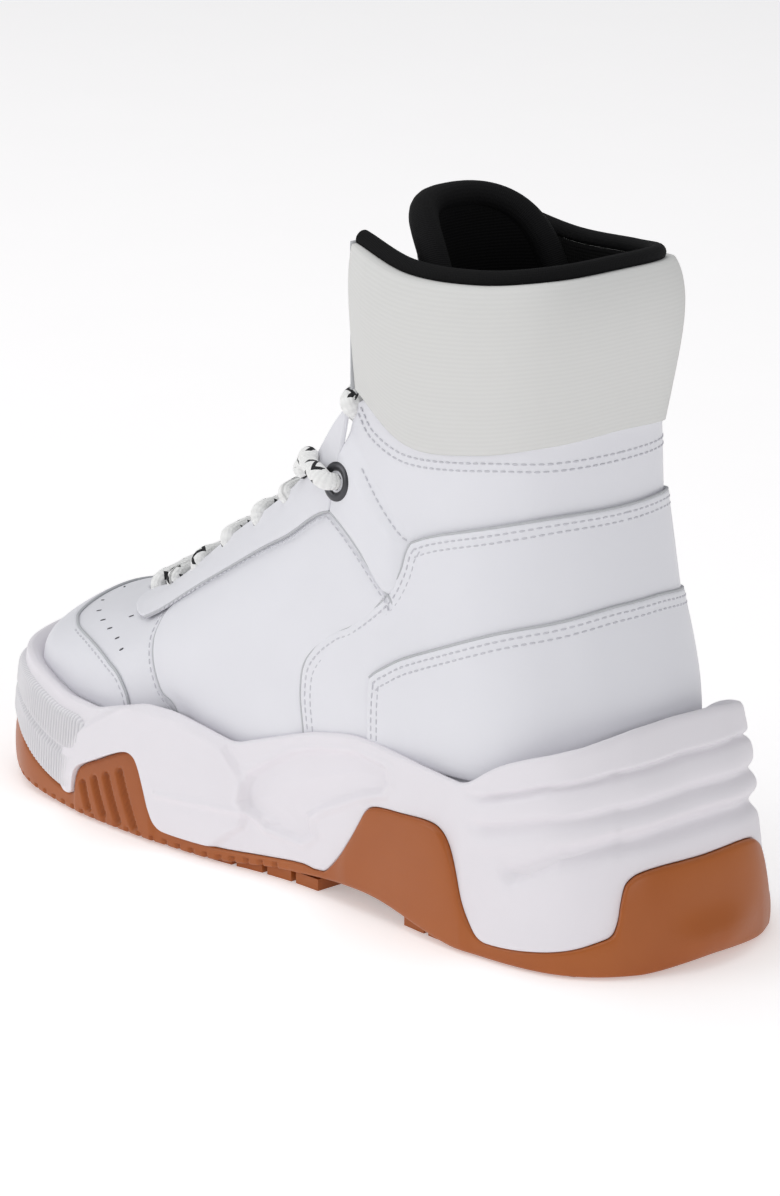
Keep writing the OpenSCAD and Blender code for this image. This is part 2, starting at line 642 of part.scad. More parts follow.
module aglets() {
    color([0.9, 0.9, 0.92])
    for (s = [1, -1]) let(e = lace_end(s), d = unit(e[7] - e[6]))
        translate(e[7] + d * 0.2)
            rotate([0, acos(d[2]), atan2(d[1], d[0])])
                cylinder(d = 4, h = aglet_length, $fn = 24);
}

outsole();
forefoot_tread();
heel_tread();
midsole();
toe_bumper();
shank();
insole_board();
sockliner();
toe_puff();
heel_counter();
boot_lining();
vamp();
toe_cap();
quarter_outer();
quarter_inner();
eyestay_outer();
eyestay_inner();
ankle_panel();
heel_overlay_middle();
heel_overlay_lower();
collar_cover();
collar_foam();
collar_lining();
collar_binding();
collar_edge_outer();
collar_edge_inner();
tongue_face();
tongue_foam();
tongue_lining();
tongue_binding();
eyelets();
lace();
aglets();
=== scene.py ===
# %% [markdown]
# # A basketball high top
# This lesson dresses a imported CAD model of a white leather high-top shoe. The CAD gives every
# size and place; here each visible part is made again as a fine surface with its own finish.
# All shapes are worked out in millimetres with numpy and put into Blender in metres.

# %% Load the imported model
import json
import bpy
import numpy as np
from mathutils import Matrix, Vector


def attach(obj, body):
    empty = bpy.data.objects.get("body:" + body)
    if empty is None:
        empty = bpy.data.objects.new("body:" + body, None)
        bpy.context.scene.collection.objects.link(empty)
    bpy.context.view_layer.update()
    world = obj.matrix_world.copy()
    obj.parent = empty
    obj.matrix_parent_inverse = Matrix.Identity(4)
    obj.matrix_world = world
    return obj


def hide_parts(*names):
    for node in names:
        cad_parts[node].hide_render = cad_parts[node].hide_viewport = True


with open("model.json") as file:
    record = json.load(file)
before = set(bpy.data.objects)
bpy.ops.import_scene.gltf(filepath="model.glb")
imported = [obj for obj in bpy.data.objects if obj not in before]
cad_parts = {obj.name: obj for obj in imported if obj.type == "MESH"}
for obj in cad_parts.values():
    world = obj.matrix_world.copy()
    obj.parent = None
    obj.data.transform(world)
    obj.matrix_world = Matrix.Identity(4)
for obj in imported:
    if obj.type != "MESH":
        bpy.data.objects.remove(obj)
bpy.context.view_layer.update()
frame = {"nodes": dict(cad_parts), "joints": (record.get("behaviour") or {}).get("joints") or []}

MM = 0.001
JOINTS = {joint["name"]: joint for joint in frame["joints"]}
# The frame's origin is under the middle of the shoe; the tongue's hinge lies this far ahead of the heel.
HINGE_AHEAD = 225
MIDDLE = round(JOINTS["tongue_tilt"]["pos_m"][1] / MM + HINGE_AHEAD, 3)

# %% [markdown]
# The camera stands behind the shoe on its outer side, a little above it, with a long lens, so
# the heel, the whole outer side and the toe are seen at once.

# %% Camera
AIM = Vector((0.043, 0.0555, 0.105))
BACK = Vector((0.6399, 0.7107, 0.2924))
CAMERA_AWAY = 1.6
camera = bpy.data.objects.new("camera", bpy.data.cameras.new("camera"))
camera.data.lens = 151.2
camera.data.sensor_width = 36
camera.data.clip_end = 40
camera.location = AIM + BACK * CAMERA_AWAY
camera.rotation_euler = BACK.to_track_quat("Z", "Y").to_euler()
bpy.context.scene.collection.objects.link(camera)
bpy.context.scene.camera = camera
print("camera at", [round(x, 3) for x in camera.location])

# %% [markdown]
# A shoe on a white table in a studio is lit by large soft lights. The table is a wide pale
# sheet, and one big lamp overhead leaves only a soft shadow where the sole meets it.

# %% Studio
def area_light(name, place, aim, size, power, colour):
    """Square lamp of the given size at place, turned to face aim."""
    lamp = bpy.data.lights.new(name, "AREA")
    lamp.size = size
    lamp.energy = power
    lamp.color = colour
    piece = bpy.data.objects.new(name, lamp)
    piece.location = place
    piece.rotation_euler = (Vector(place) - Vector(aim)).to_track_quat("Z", "Y").to_euler()
    bpy.context.scene.collection.objects.link(piece)
    return piece


area_light("lamp_above", (0.3, -0.5, 2.1), (0, 0, 0.1), 1.8, 15, (1, 1, 1))
area_light("lamp_left", (1.9, -1.3, 1.0), (0, 0, 0.1), 1.3, 13, (1, 0.995, 0.99))
area_light("lamp_right", (0.7, 2.3, 1.0), (0, 0, 0.1), 1.2, 10, (1, 1, 1))
world = bpy.data.worlds.new("studio")
world.use_nodes = True
world.node_tree.nodes["Background"].inputs["Color"].default_value = (0.97, 0.98, 1.0, 1)
world.node_tree.nodes["Background"].inputs["Strength"].default_value = 0.42
bpy.context.scene.world = world
bpy.context.scene.view_settings.view_transform = "Standard"
print("three lamps and a pale sky")

# %% [markdown]
# Every shape below is a smooth curve or surface through a few known points. A Catmull-Rom
# curve passes through each of its points, which is what the CAD uses as well, so both agree.

# %% Curves
def smooth(rows, t, before=None, after=None):
    """Catmull-Rom curve through rows at parameter t, counted in rows: half of
    2a + (b-q)s + (2q-5a+4b-r)s^2 + (3a-q-3b+r)s^3, for a row a, its next b, and q and r beyond."""
    rows = np.asarray(rows, float)
    t = np.asarray(t, float)
    first = 2 * rows[0] - rows[1] if before is None else np.asarray(before, float)
    last = 2 * rows[-1] - rows[-2] if after is None else np.asarray(after, float)
    p = np.concatenate([first[None], rows, last[None]])
    i = np.clip(np.floor(t).astype(int), 0, len(rows) - 2)
    s = (t - i).reshape(t.shape + (1,) * (rows.ndim - 1))
    return hermite(p[i], p[i + 1], p[i + 2], p[i + 3], s)


def hermite(q, a, b, r, s):
    """One span of a Catmull-Rom curve, from a to b."""
    return 0.5 * (2 * a + (b - q) * s + (2 * q - 5 * a + 4 * b - r) * s**2
                  + (3 * a - q - 3 * b + r) * s**3)


def lengths(path):
    """Length along a path at each of its points."""
    return np.concatenate([[0], np.cumsum(np.linalg.norm(np.diff(path, axis=0), axis=1))])


def read_at(at, run, path):
    """Values of a path at lengths along it, where run holds the length at each of its points."""
    return np.stack([np.interp(at, run, path[:, k]) for k in range(path.shape[1])], -1)


def line(points, shares):
    """Smooth line through points, read off at shares of its length from 0 to 1."""
    fine = smooth(points, np.linspace(0, len(points) - 1, 24 * (len(points) - 1) + 1))
    run = lengths(fine)
    return read_at(shares, run / run[-1], fine)


def unit(v):
    """v divided by its length."""
    return v / np.maximum(np.linalg.norm(v, axis=-1, keepdims=True), 1e-9)


def mix(a, b, s):
    """a at s = 0 and b at s = 1."""
    return a + (b - a) * s


def ramp(x):
    """Rises smoothly from 0 to 1 as x goes from 0 to 1: 3x^2 - 2x^3."""
    x = np.clip(x, 0, 1)
    return x * x * (3 - 2 * x)


def bell(x, width):
    """Bump of height 1 at x = 0: exp(-(x / width)^2)."""
    return np.exp(-((x / width) ** 2))


def rounded(d, radius):
    """Quarter circle: 0 at the edge, 1 at radius and beyond."""
    return np.sqrt(1 - (1 - np.clip(d / radius, 0, 1)) ** 2)


def place(p):
    """(across, forward of the heel, up) to the model's frame, in mm."""
    return np.stack([p[..., 0], MIDDLE - p[..., 1], p[..., 2]], -1)


print("curve helpers ready")

# %% [markdown]
# A mesh is made from arrays in one call for each kind of data. A closed shell, such as a piece
# of leather, is a grid of outer points, a grid of inner points and four strips of faces that
# join their edges. Its volume tells whether its faces point out: if it is negative they turn.

# %% Mesh makers
def grid_quads(n, k, ring=False):
    """Faces of a grid of n by k points; with ring, the last row joins the first."""
    i, j = np.meshgrid(np.arange(n if ring else n - 1), np.arange(k - 1), indexing="ij")
    i, j, i2 = i.ravel(), j.ravel(), ((i + 1) % n).ravel()
    return np.stack([i * k + j, i2 * k + j, i2 * k + j + 1, i * k + j + 1], -1)


def volume(points, quads):
    """Signed volume of a closed mesh: a sixth of the sum of a . (b x c) over its triangles."""
    a, b, c, d = (points[quads[:, k]] for k in range(4))
    return (np.einsum("ij,ij", a, np.cross(b, c)) + np.einsum("ij,ij", a, np.cross(c, d))) / 6


def build(name, points, quads, uv, material, body="shoe", nodes=(), slot=None):
    """Mesh piece from points in mm, faces of four corners and one uv for each point."""
    mesh = bpy.data.meshes.new(name)
    mesh.vertices.add(len(points))
    mesh.vertices.foreach_set("co", (points * MM).astype(np.float32).ravel())
    mesh.loops.add(quads.size)
    mesh.loops.foreach_set("vertex_index", quads.astype(np.int32).ravel())
    mesh.polygons.add(len(quads))
    mesh.polygons.foreach_set("loop_start", np.arange(len(quads), dtype=np.int32) * 4)
    mesh.update(calc_edges=True)
    layer = mesh.uv_layers.new(name="UVMap")
    layer.data.foreach_set("uv", uv[quads.ravel()].astype(np.float32).ravel())
    mesh.polygons.foreach_set("use_smooth", np.ones(len(quads), bool))
    mesh.materials.append(material)
    mesh.validate()
    piece = bpy.data.objects.new(name, mesh)
    bpy.context.scene.collection.objects.link(piece)
    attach(piece, body)
    if nodes:
        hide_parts(*nodes)
    print(f"{name}: {len(quads)} faces")
    return piece


def closed(points, quads):
    """The same faces, all turned if the mesh is inside out."""
    return quads if volume(points, quads) > 0 else quads[:, ::-1]


def shell(outer, inner):
    """Closed shell between two grids of points: points, faces."""
    n, k = outer.shape[:2]
    top = grid_quads(n, k)
    size = n * k
    rim = np.concatenate([np.arange(k), np.arange(1, n) * k + k - 1,
                          (n - 1) * k + np.arange(k - 2, -1, -1), np.arange(n - 2, 0, -1) * k])
    nxt = np.roll(rim, -1)
    walls = np.stack([rim, nxt, nxt + size, rim + size], -1)
    points = np.concatenate([outer.reshape(-1, 3), inner.reshape(-1, 3)])
    quads = np.concatenate([top[:, ::-1], top + size, walls[:, ::-1]])
    return points, closed(points, quads)


def shell_uv(a, b):
    """uv of both faces of a shell, from two values on its grid."""
    return np.tile(np.stack([a, b], -1).reshape(-1, 2), (2, 1))


def tube(path, across, up, width, height, sides, pinch=None):
    """Oval tube along a path: path + cos(a) width across + sin(a) height up, with closed ends.
    Returns points, faces and a uv of (round, mm along)."""
    n = len(path)
    a = np.arange(sides) * 2 * np.pi / sides
    swell = np.ones(n) if pinch is None else pinch
    ring = (np.cos(a)[None, :, None] * across[:, None] * width
            + np.sin(a)[None, :, None] * up[:, None] * height) * swell[:, None, None]
    points = (path[:, None] + ring).reshape(-1, 3)
    i, j = np.meshgrid(np.arange(n - 1), np.arange(sides), indexing="ij")
    i, j = i.ravel(), j.ravel()
    j2 = (j + 1) % sides
    here, ahead = i * sides, (i + 1) * sides
    quads = np.stack([here + j, here + j2, ahead + j2, ahead + j], -1)
    half = np.arange(sides // 2 - 1)
    cap = np.stack([half, half + 1, sides - 2 - half, sides - 1 - half], -1)
    quads = np.concatenate([quads, cap[:, ::-1], cap + (n - 1) * sides])
    uv = np.stack([np.broadcast_to(np.arange(sides) / sides, (n, sides)),
                   np.broadcast_to(lengths(path)[:, None], (n, sides))], -1).reshape(-1, 2)
    return points, closed(points, quads), uv


def frames(path):
    """Across and up directions along a path, carried from point to point without twist."""
    tangent = unit(np.gradient(path, axis=0))
    seed = np.cross(tangent[0], (0, 0, 1))
    across = [unit(seed if np.linalg.norm(seed) > 0.1 else np.cross(tangent[0], (1, 0, 0)))]
    for d in tangent[1:]:
        across.append(unit(across[-1] - (across[-1] @ d) * d))
    across = np.array(across)
    return across, np.cross(tangent, across)


print("mesh makers ready")

# %% [markdown]
# Finishes come next. Detail that many finishes share is made once as a shader node group:
# the pebbled grain of leather, the soft mottle of any moulded or woven thing, and a knit.
# Each group gives only a height or a mask, and each material mixes it in its own way.

# %% Node helpers
def socket(tree, way, name, kind="NodeSocketFloat", value=None):
    """Adds a named input or output to a node group."""
    made = tree.interface.new_socket(name=name, in_out=way, socket_type=kind)
    if value is not None:
        made.default_value = value


def add(tree, kind, links=(), **settings):
    """Adds a node; settings are its properties, and links are (input, value or output)."""
    node = tree.nodes.new(kind)
    for key, value in settings.items():
        setattr(node, key, value)
    for key, value in links:
        if isinstance(value, bpy.types.NodeSocket):
            tree.links.new(value, node.inputs[key])
        else:
            node.inputs[key].default_value = value
    return node


def calc(tree, operation, a, b=0.0, c=0.0):
    """One arithmetic node."""
    return add(tree, "ShaderNodeMath", [(0, a), (1, b), (2, c)], operation=operation).outputs[0]


def group(name, inputs, outputs):
    """Empty node group with a Vector input, named number inputs and named number outputs."""
    tree = bpy.data.node_groups.new(name, "ShaderNodeTree")
    socket(tree, "INPUT", "Vector", "NodeSocketVector")
    for label, value in inputs:
        socket(tree, "INPUT", label, value=value)
    for label in outputs:
        socket(tree, "OUTPUT", label)
    start = tree.nodes.new("NodeGroupInput")
    end = tree.nodes.new("NodeGroupOutput")
    return tree, start.outputs, end.inputs


# %% Leather grain group
# Pebbles are the cells of a Voronoi pattern; fine pores ride on them.
grain, grain_in, grain_out = group("leather_grain", [("Scale", 900.0), ("Pores", 0.35)], ["Height"])
cells = add(grain, "ShaderNodeTexVoronoi", [("Vector", grain_in["Vector"]), ("Scale", grain_in["Scale"])],
            feature="SMOOTH_F1")
pores = add(grain, "ShaderNodeTexNoise", [("Vector", grain_in["Vector"]), ("Scale", 2600.0), ("Detail", 3.0)])
soft = calc(grain, "MULTIPLY", pores.outputs[0], grain_in["Pores"])
grain.links.new(calc(grain, "SUBTRACT", soft, cells.outputs[0]), grain_out["Height"])
print("leather grain is ready")

# %% Mottle group
# Two noises, one broad and one fine, give the uneven tone of any real surface.
mottle, mottle_in, mottle_out = group("mottle", [("Broad", 18.0), ("Fine", 700.0)], ["Broad", "Fine"])
broad = add(mottle, "ShaderNodeTexNoise",
            [("Vector", mottle_in["Vector"]), ("Scale", mottle_in["Broad"]), ("Detail", 3.0)])
fine = add(mottle, "ShaderNodeTexNoise",
           [("Vector", mottle_in["Vector"]), ("Scale", mottle_in["Fine"]), ("Detail", 5.0)])
mottle.links.new(calc(mottle, "MULTIPLY_ADD", broad.outputs[0], 2.2, -0.6), mottle_out["Broad"])
mottle.links.new(fine.outputs[0], mottle_out["Fine"])
print("mottle is ready")

# %% Knit group
# Rows and columns of stitches, from the piece's own uv in mm: a sine along each way.
knit, knit_in, knit_out = group("knit", [("Rows", 1.0), ("Columns", 1.0), ("Wander", 0.15)],
                                ["Height", "Row"])
shake = add(knit, "ShaderNodeTexNoise", [("Vector", knit_in["Vector"]), ("Scale", 0.6), ("Detail", 2.0)])
split = add(knit, "ShaderNodeSeparateXYZ", [(0, knit_in["Vector"])])
along = calc(knit, "MULTIPLY_ADD", shake.outputs[0], knit_in["Wander"], split.outputs[0])
over = calc(knit, "MULTIPLY_ADD", shake.outputs[0], knit_in["Wander"], split.outputs[1])
TURN = 6.2832
row = calc(knit, "SINE", calc(knit, "MULTIPLY", over, calc(knit, "MULTIPLY", knit_in["Rows"], TURN)))
column = calc(knit, "SINE", calc(knit, "MULTIPLY", along, calc(knit, "MULTIPLY", knit_in["Columns"], TURN)))
bumps = calc(knit, "MULTIPLY_ADD", row, 0.3, calc(knit, "MULTIPLY_ADD", column, 0.2, 0.5))
knit.links.new(bumps, knit_out["Height"])
knit.links.new(calc(knit, "MULTIPLY_ADD", row, 0.5, 0.5), knit_out["Row"])
print("node groups:", [g.name for g in bpy.data.node_groups])


# %% Material maker
ROUGH_SPREAD = 0.1


def finish(name, light, dark, roughness, pattern, scales=(), height="Height", mask=None, bump=0.4,
           depth=0.0003, coordinates="Object", **shader):
    """Principled material: its colour goes from light to dark by a mask, its roughness spreads by
    the fine mottle, and the pattern's height drives a bump."""
    material = bpy.data.materials.new(name)
    material.use_nodes = True
    tree = material.node_tree
    body = tree.nodes["Principled BSDF"]
    where = add(tree, "ShaderNodeTexCoord").outputs[coordinates]
    detail = add(tree, "ShaderNodeGroup", node_tree=pattern)
    tree.links.new(where, detail.inputs["Vector"])
    for label, value in scales:
        detail.inputs[label].default_value = value
    tone = add(tree, "ShaderNodeGroup", node_tree=mottle)
    tree.links.new(add(tree, "ShaderNodeTexCoord").outputs["Object"], tone.inputs["Vector"])
    shade = detail.outputs[mask] if mask else tone.outputs["Broad"]
    colour = add(tree, "ShaderNodeMix", [(0, shade), (6, (*light, 1)), (7, (*dark, 1))],
                 data_type="RGBA", clamp_factor=True)
    tree.links.new(colour.outputs[2], body.inputs["Base Color"])
    rough = calc(tree, "MULTIPLY_ADD", tone.outputs["Fine"], ROUGH_SPREAD, roughness - ROUGH_SPREAD / 2)
    tree.links.new(rough, body.inputs["Roughness"])
    push = add(tree, "ShaderNodeBump",
               [("Strength", bump), ("Distance", depth), ("Height", detail.outputs[height])])
    tree.links.new(push.outputs[0], body.inputs["Normal"])
    for label, value in shader.items():
        body.inputs[label.replace("_", " ").title().replace("Ior", "IOR")].default_value = value
    return material


def uv_parts(tree):
    """The two uv coordinates as numbers."""
    return add(tree, "ShaderNodeSeparateXYZ", [(0, add(tree, "ShaderNodeTexCoord").outputs["UV"])]).outputs


def print_over(material, mask, colour):
    """Mixes another colour over the material's own by a mask."""
    tree = material.node_tree
    body = tree.nodes["Principled BSDF"]
    plain = body.inputs["Base Color"].links[0].from_socket
    both = add(tree, "ShaderNodeMix", [(0, mask), (6, plain), (7, (*colour, 1))], data_type="RGBA")
    tree.links.new(both.outputs[2], body.inputs["Base Color"])


WHITE_LEATHER = finish("white_leather", (0.79, 0.79, 0.83), (0.76, 0.76, 0.80), 0.42, grain,
                       [("Scale", 1150.0)], bump=0.10, depth=0.0002)
# Grey of the leather's cut edges, also used as painted shade along the overlapping edges.
EDGE_GREY_AND_SHADE = finish("cut_edge_grey_and_shade", (0.55, 0.56, 0.58), (0.47, 0.48, 0.50), 0.6, grain,
                      [("Scale", 1500.0)], bump=0.3)
MIDSOLE_FOAM = finish("moulded_foam", (0.82, 0.79, 0.83), (0.79, 0.765, 0.80), 0.52, mottle,
                      [("Fine", 1500.0)], height="Fine", bump=0.18, depth=0.0002)
GUM = finish("gum_rubber", (0.41, 0.116, 0.023), (0.345, 0.088, 0.017), 0.38, mottle, [("Fine", 1200.0)],
             height="Fine", bump=0.1, depth=0.0002, specular_ior_level=0.35)
JERSEY = finish("ribbed_jersey", (0.70, 0.70, 0.685), (0.68, 0.68, 0.665), 0.86, knit,
                [("Rows", 0.75), ("Columns", 1.4), ("Wander", 0.3)], mask="Row", bump=0.16,
                depth=0.0002, coordinates="UV")
BLACK_KNIT = finish("black_textile", (0.004, 0.004, 0.0045), (0.002, 0.002, 0.002), 0.9, knit,
                    [("Rows", 1.0), ("Columns", 1.0)], bump=0.5, depth=0.0004, coordinates="UV",
                    specular_ior_level=0.12)
BINDING = finish("black_binding", (0.006, 0.006, 0.0065), (0.003, 0.003, 0.0033), 0.8, knit,
                 [("Rows", 1.6), ("Columns", 22.0), ("Wander", 0.05)], bump=0.5, depth=0.0003,
                 coordinates="UV", specular_ior_level=0.15)
MESH_CLOTH = finish("white_mesh", (0.66, 0.67, 0.70), (0.38, 0.39, 0.42), 0.8, knit,
                    [("Rows", 0.5), ("Columns", 0.5), ("Wander", 0.1)], mask="Row", bump=0.8,
                    depth=0.0006, coordinates="UV")
THREAD = finish("white_thread", (0.63, 0.63, 0.67), (0.55, 0.55, 0.59), 0.7, mottle,
                height="Fine", bump=0.3)
# Dark of the air slits: painted shade inside each slit.
HOLE_SHADE = finish("punched_hole_shade", (0.10, 0.10, 0.11), (0.06, 0.06, 0.07), 0.9, mottle,
             height="Fine", bump=0.3)
BLACK_METAL = finish("gunmetal", (0.10, 0.10, 0.11), (0.06, 0.06, 0.065), 0.34, mottle, height="Fine",
                     bump=0.1, metallic=0.9)
LACE_TIP = finish("clear_plastic", (0.82, 0.82, 0.85), (0.74, 0.74, 0.78), 0.25, mottle,
                  height="Fine", bump=0.05)
BOARD = finish("fibre_board", (0.55, 0.47, 0.36), (0.47, 0.40, 0.30), 0.85, mottle, [("Fine", 400.0)],
               height="Fine", bump=0.4)
STEEL = finish("spring_steel", (0.42, 0.43, 0.45), (0.34, 0.35, 0.37), 0.35, mottle, height="Fine",
               bump=0.1, metallic=0.9)
STIFFENER = finish("stiffener", (0.58, 0.56, 0.50), (0.50, 0.48, 0.43), 0.7, mottle,
                   height="Fine", bump=0.3)
print("materials:", len(bpy.data.materials))

# %% [markdown]
# The lace is white with a broken black zigzag woven into it. The zigzag is a triangle wave of
# the way round against the way along, and a slower wave cuts it into separate flecks.

# %% Lace material
LACE = finish("flecked_lace", (0.90, 0.90, 0.89), (0.84, 0.84, 0.83), 0.8, knit,
              [("Rows", 0.9), ("Columns", 14.0), ("Wander", 0.1)], mask="Row", bump=0.6, depth=0.0004,
              coordinates="UV")
tree = LACE.node_tree
way_round, way_along, _ = uv_parts(tree)
zigzag = calc(tree, "PINGPONG", calc(tree, "MULTIPLY", way_along, 0.22), 0.5)
strands = calc(tree, "PINGPONG", calc(tree, "MULTIPLY_ADD", way_round, 3.0, zigzag), 0.5)
thin = calc(tree, "LESS_THAN", strands, 0.15)
blocks = calc(tree, "SINE", calc(tree, "MULTIPLY", way_along, 0.52))
shown = calc(tree, "GREATER_THAN", blocks, -0.1)
print_over(LACE, calc(tree, "MULTIPLY", thin, shown), (0.01, 0.01, 0.012))
print("the lace has its flecks")

# %% [markdown]
# ## The sole
# The plan of the sole is two smooth lines through twelve stations, one for each side. Its wall
# leans in towards the top, most at the heel. A point of the wall is the plan point moved out or
# in along the plan's normal: by minus lean times the height share squared, minus an inset.

# %% Sole wall
OUTER_SIDE = [[0, -8], [27, -4], [47, 15], [54, 52], [53, 95], [53.5, 135], [59, 170], [62, 205],
              [61, 240], [54.5, 272], [34, 296], [-6, 307]]
INNER_SIDE = [[0, -8], [-27, -4], [-46, 15], [-53, 52], [-50, 95], [-49.5, 135], [-55, 170],
              [-60, 205], [-62, 240], [-58.5, 272], [-40, 296], [-6, 307]]
EDGE_LINE = np.array([
    (0, 76.5), (1, 75.5), (1.5, 74), (2, 71.5), (2.35, 68.5), (2.6, 65), (2.75, 61.5), (2.95, 55.5),
    (3.15, 55.8), (3.55, 57.5), (4, 58.4), (4.25, 58.3), (4.7, 54.8), (5.15, 49), (5.65, 43), (6.05, 45.6),
    (6.45, 47.9), (6.85, 47.5), (7.25, 43.4), (7.6, 39.5), (8.2, 39.5), (8.8, 44), (9.3, 45.2), (11, 46)])
LEAN = [17, 15.5, 7.5, 1, 1, 1, 1.5, 2, 3, 3.5, 3.5, 3.5]
UNDERSIDE = [1.5, 0, 0, 0, 5, 3, 0, 0, 0, 1.5, 4, 6]
STATIONS = 11
STATION_MM = 30.0


def plan(j, side):
    """Plan point (across, forward) at station j of the outer (1) or inner (-1) side."""
    there, other = (OUTER_SIDE, INNER_SIDE) if side > 0 else (INNER_SIDE, OUTER_SIDE)
    return smooth(there, j, other[1], other[-2])


def even(values, j):
    """Smooth value at station j of a list that is the same on both sides."""
    return smooth(values, j, values[1], values[-2])


def out_from(j, side):
    """Normal of the plan at station j, pointing out of the sole."""
    step = 0.05
    d = unit(plan(np.minimum(STATIONS, j + step), side) - plan(np.maximum(0, j - step), side))
    n = np.stack([-d[..., 1], d[..., 0]], -1) * -side
    ends = np.where(j < 0.02, -1.0, 1.0)[..., None] * np.array([0.0, 1.0])
    return np.where(((j < 0.02) | (j > STATIONS - 0.02))[..., None], ends, n)


def edge_height(j):
    """Height of the sole's top edge: the line's points averaged over a short stretch each way."""
    near = np.clip(abs(np.asarray(j)[..., None] + np.linspace(-0.09, 0.09, 9)), 0, STATIONS)
    return np.interp(near, EDGE_LINE[:, 0], EDGE_LINE[:, 1]).mean(-1)


def wall(j, side, z, inset=0.0):
    """Point of the sole wall in (across, forward, up)."""
    share = np.clip(z / edge_height(j), 0, 1)
    move = -even(LEAN, j) * share**2 - inset
    p = plan(j, side) + out_from(j, side) * np.asarray(move)[..., None]
    return np.concatenate([p, np.asarray(z, float)[..., None]], -1)


def both_sides(make):
    """Columns round the whole sole: out along the outer side, back along the inner side."""
    outer, inner = make(1), make(-1)
    return np.concatenate([outer, inner[-2:0:-1]])


def ring_stack(loops):
    """Closed mesh from rings one above the other, the first and the last closed by strips from
    side to side: points, faces, uv."""
    height, count = loops.shape[:2]
    m = np.arange(count // 2)
    strips = np.stack([m, m + 1, (count - m - 1) % count, (count - m) % count], -1) * height
    points = loops.transpose(1, 0, 2).reshape(-1, 3)
    quads = np.concatenate([grid_quads(count, height, ring=True), strips, (strips + height - 1)[:, ::-1]])
    uv = np.stack([np.repeat(np.arange(count), height), np.tile(np.arange(height), count)], -1) * 1.0
    return points, closed(points, quads), uv


print("the sole has", STATIONS + 1, "stations")


# %% Rubber line
# Height of the gum rubber on the wall, as (station, height). The columns of both sole pieces
# are spaced evenly along this line, so its steep steps keep as many points as its flat runs.
RUBBER_LINE = np.array([
    (0, 34), (0.6, 34.2), (0.95, 33.2), (1.1, 31.5), (1.18, 29), (1.23, 24), (1.27, 18), (1.34, 14),
    (1.5, 12), (1.84, 9), (2.3, 6.6), (2.6, 5.8), (2.75, 6.4), (2.84, 9.5), (2.93, 16), (3.02, 27),
    (3.1, 34), (3.2, 38.3), (3.35, 39.6), (3.65, 38.8), (3.9, 37.6), (4.01, 35.5), (4.1, 30), (4.2, 23.5),
    (4.36, 14.9), (4.55, 8.4), (4.8, 8.6), (5.2, 7.2), (5.8, 5.6), (6.4, 5.6), (6.58, 7), (6.66, 12),
    (6.74, 20), (6.81, 26), (6.88, 29.2), (7.0, 30), (7.2, 27.6), (7.5, 22.6), (7.7, 19.2), (7.79, 16.5),
    (7.83, 12), (7.87, 8), (8.0, 6.6), (8.3, 8.5), (8.6, 12), (8.84, 15.5), (9.2, 20), (9.7, 22), (11, 23)])
COLUMNS = 620
rim_line = line(RUBBER_LINE * [STATION_MM, 1], np.linspace(0, 1, COLUMNS))
COLUMN_J = np.maximum.accumulate(np.clip(rim_line[:, 0] / STATION_MM, 0, STATIONS))
RUBBER_Z = rim_line[:, 1]
# The rubber's wall hides the ends of the tread bars, so it stops just above the ground.
UNDER_Z = 0.7 + 1.25 * np.maximum(0, even(UNDERSIDE, COLUMN_J))
RUBBER_Z = np.maximum(RUBBER_Z, UNDER_Z + 2.4)
EDGE_Z = edge_height(COLUMN_J)
print("sole columns:", 2 * COLUMNS - 2)


# %% Distance helpers
def to_segment(p, a, b):
    """Distance of points p to the segment from a to b."""
    a, b = np.asarray(a, float), np.asarray(b, float)
    share = np.clip(((p - a) @ (b - a)) / ((b - a) @ (b - a)), 0, 1)
    return np.linalg.norm(p - a - share[..., None] * (b - a), axis=-1)


def inside(p, outline):
    """Distance of points p inside a closed outline, negative outside it."""
    outline = np.asarray(outline, float)
    nearest = np.full(p.shape[:-1], 1e9)
    odd = np.zeros(p.shape[:-1], bool)
    for a, b in zip(outline, np.roll(outline, -1, axis=0)):
        nearest = np.minimum(nearest, to_segment(p, a, b))
        crosses = (a[1] > p[..., 1]) != (b[1] > p[..., 1])
        rise = np.where(abs(b[1] - a[1]) < 1e-9, 1e-9, b[1] - a[1])
        odd ^= crosses & (p[..., 0] < (b[0] - a[0]) * (p[..., 1] - a[1]) / rise + a[0])
    return np.where(odd, nearest, -nearest)


def along_line(points, j):
    """Height at station j of a line of (station, height) points."""
    points = np.asarray(points, float)
    return np.interp(j, points[:, 0], points[:, 1])


print("distance helpers ready")

# %% [markdown]
# The midsole is one moulded foam piece. Round the heel it has a rolled top edge, a crisp groove,
# a soft step and a broad hollow. At the forefoot a smooth pod bulges out, and in the middle a
# shallow loop is sunk into the wall. Each is a small move of the wall in or out.

# %% Midsole shape
GROOVE_LINE = [(0, 65.1), (0.44, 64.4), (1.33, 63.6), (2.18, 59.5), (2.78, 52.6)]
STEP_LINE = [(0, 54.2), (0.37, 53.8), (1.35, 52.2), (2.15, 48.5), (2.7, 42.9)]
HOLLOW_LINE = [(0, 44.6), (0.44, 44.5), (1.35, 42.6), (1.97, 38.4), (2.44, 30.5)]
POD = np.array([(8.1, 22), (7.81, 31.1), (7.5, 38), (7.1, 46), (6.4, 47), (5.75, 42), (5.52, 33.3),
                (5.43, 22.9), (5.5, 15), (5.92, 4.5), (6.5, 0), (7.8, 0), (8.2, 10)]) * [STATION_MM, 1]
LOOP = np.array([(5.42, 34), (4.95, 44.8), (4.57, 49.7), (4.11, 53), (3.81, 52), (3.79, 47.4), (3.85, 44),
                 (4.1, 40.3), (4.56, 31.1), (4.74, 25.8), (4.68, 20.2), (4.8, 17), (5.2, 18),
                 (5.5, 25)]) * [STATION_MM, 1]
CREASE = np.array([(6.54, 19.4), (5.87, 21.0), (5.43, 21.0), (5.15, 20.0)]) * [STATION_MM, 1]


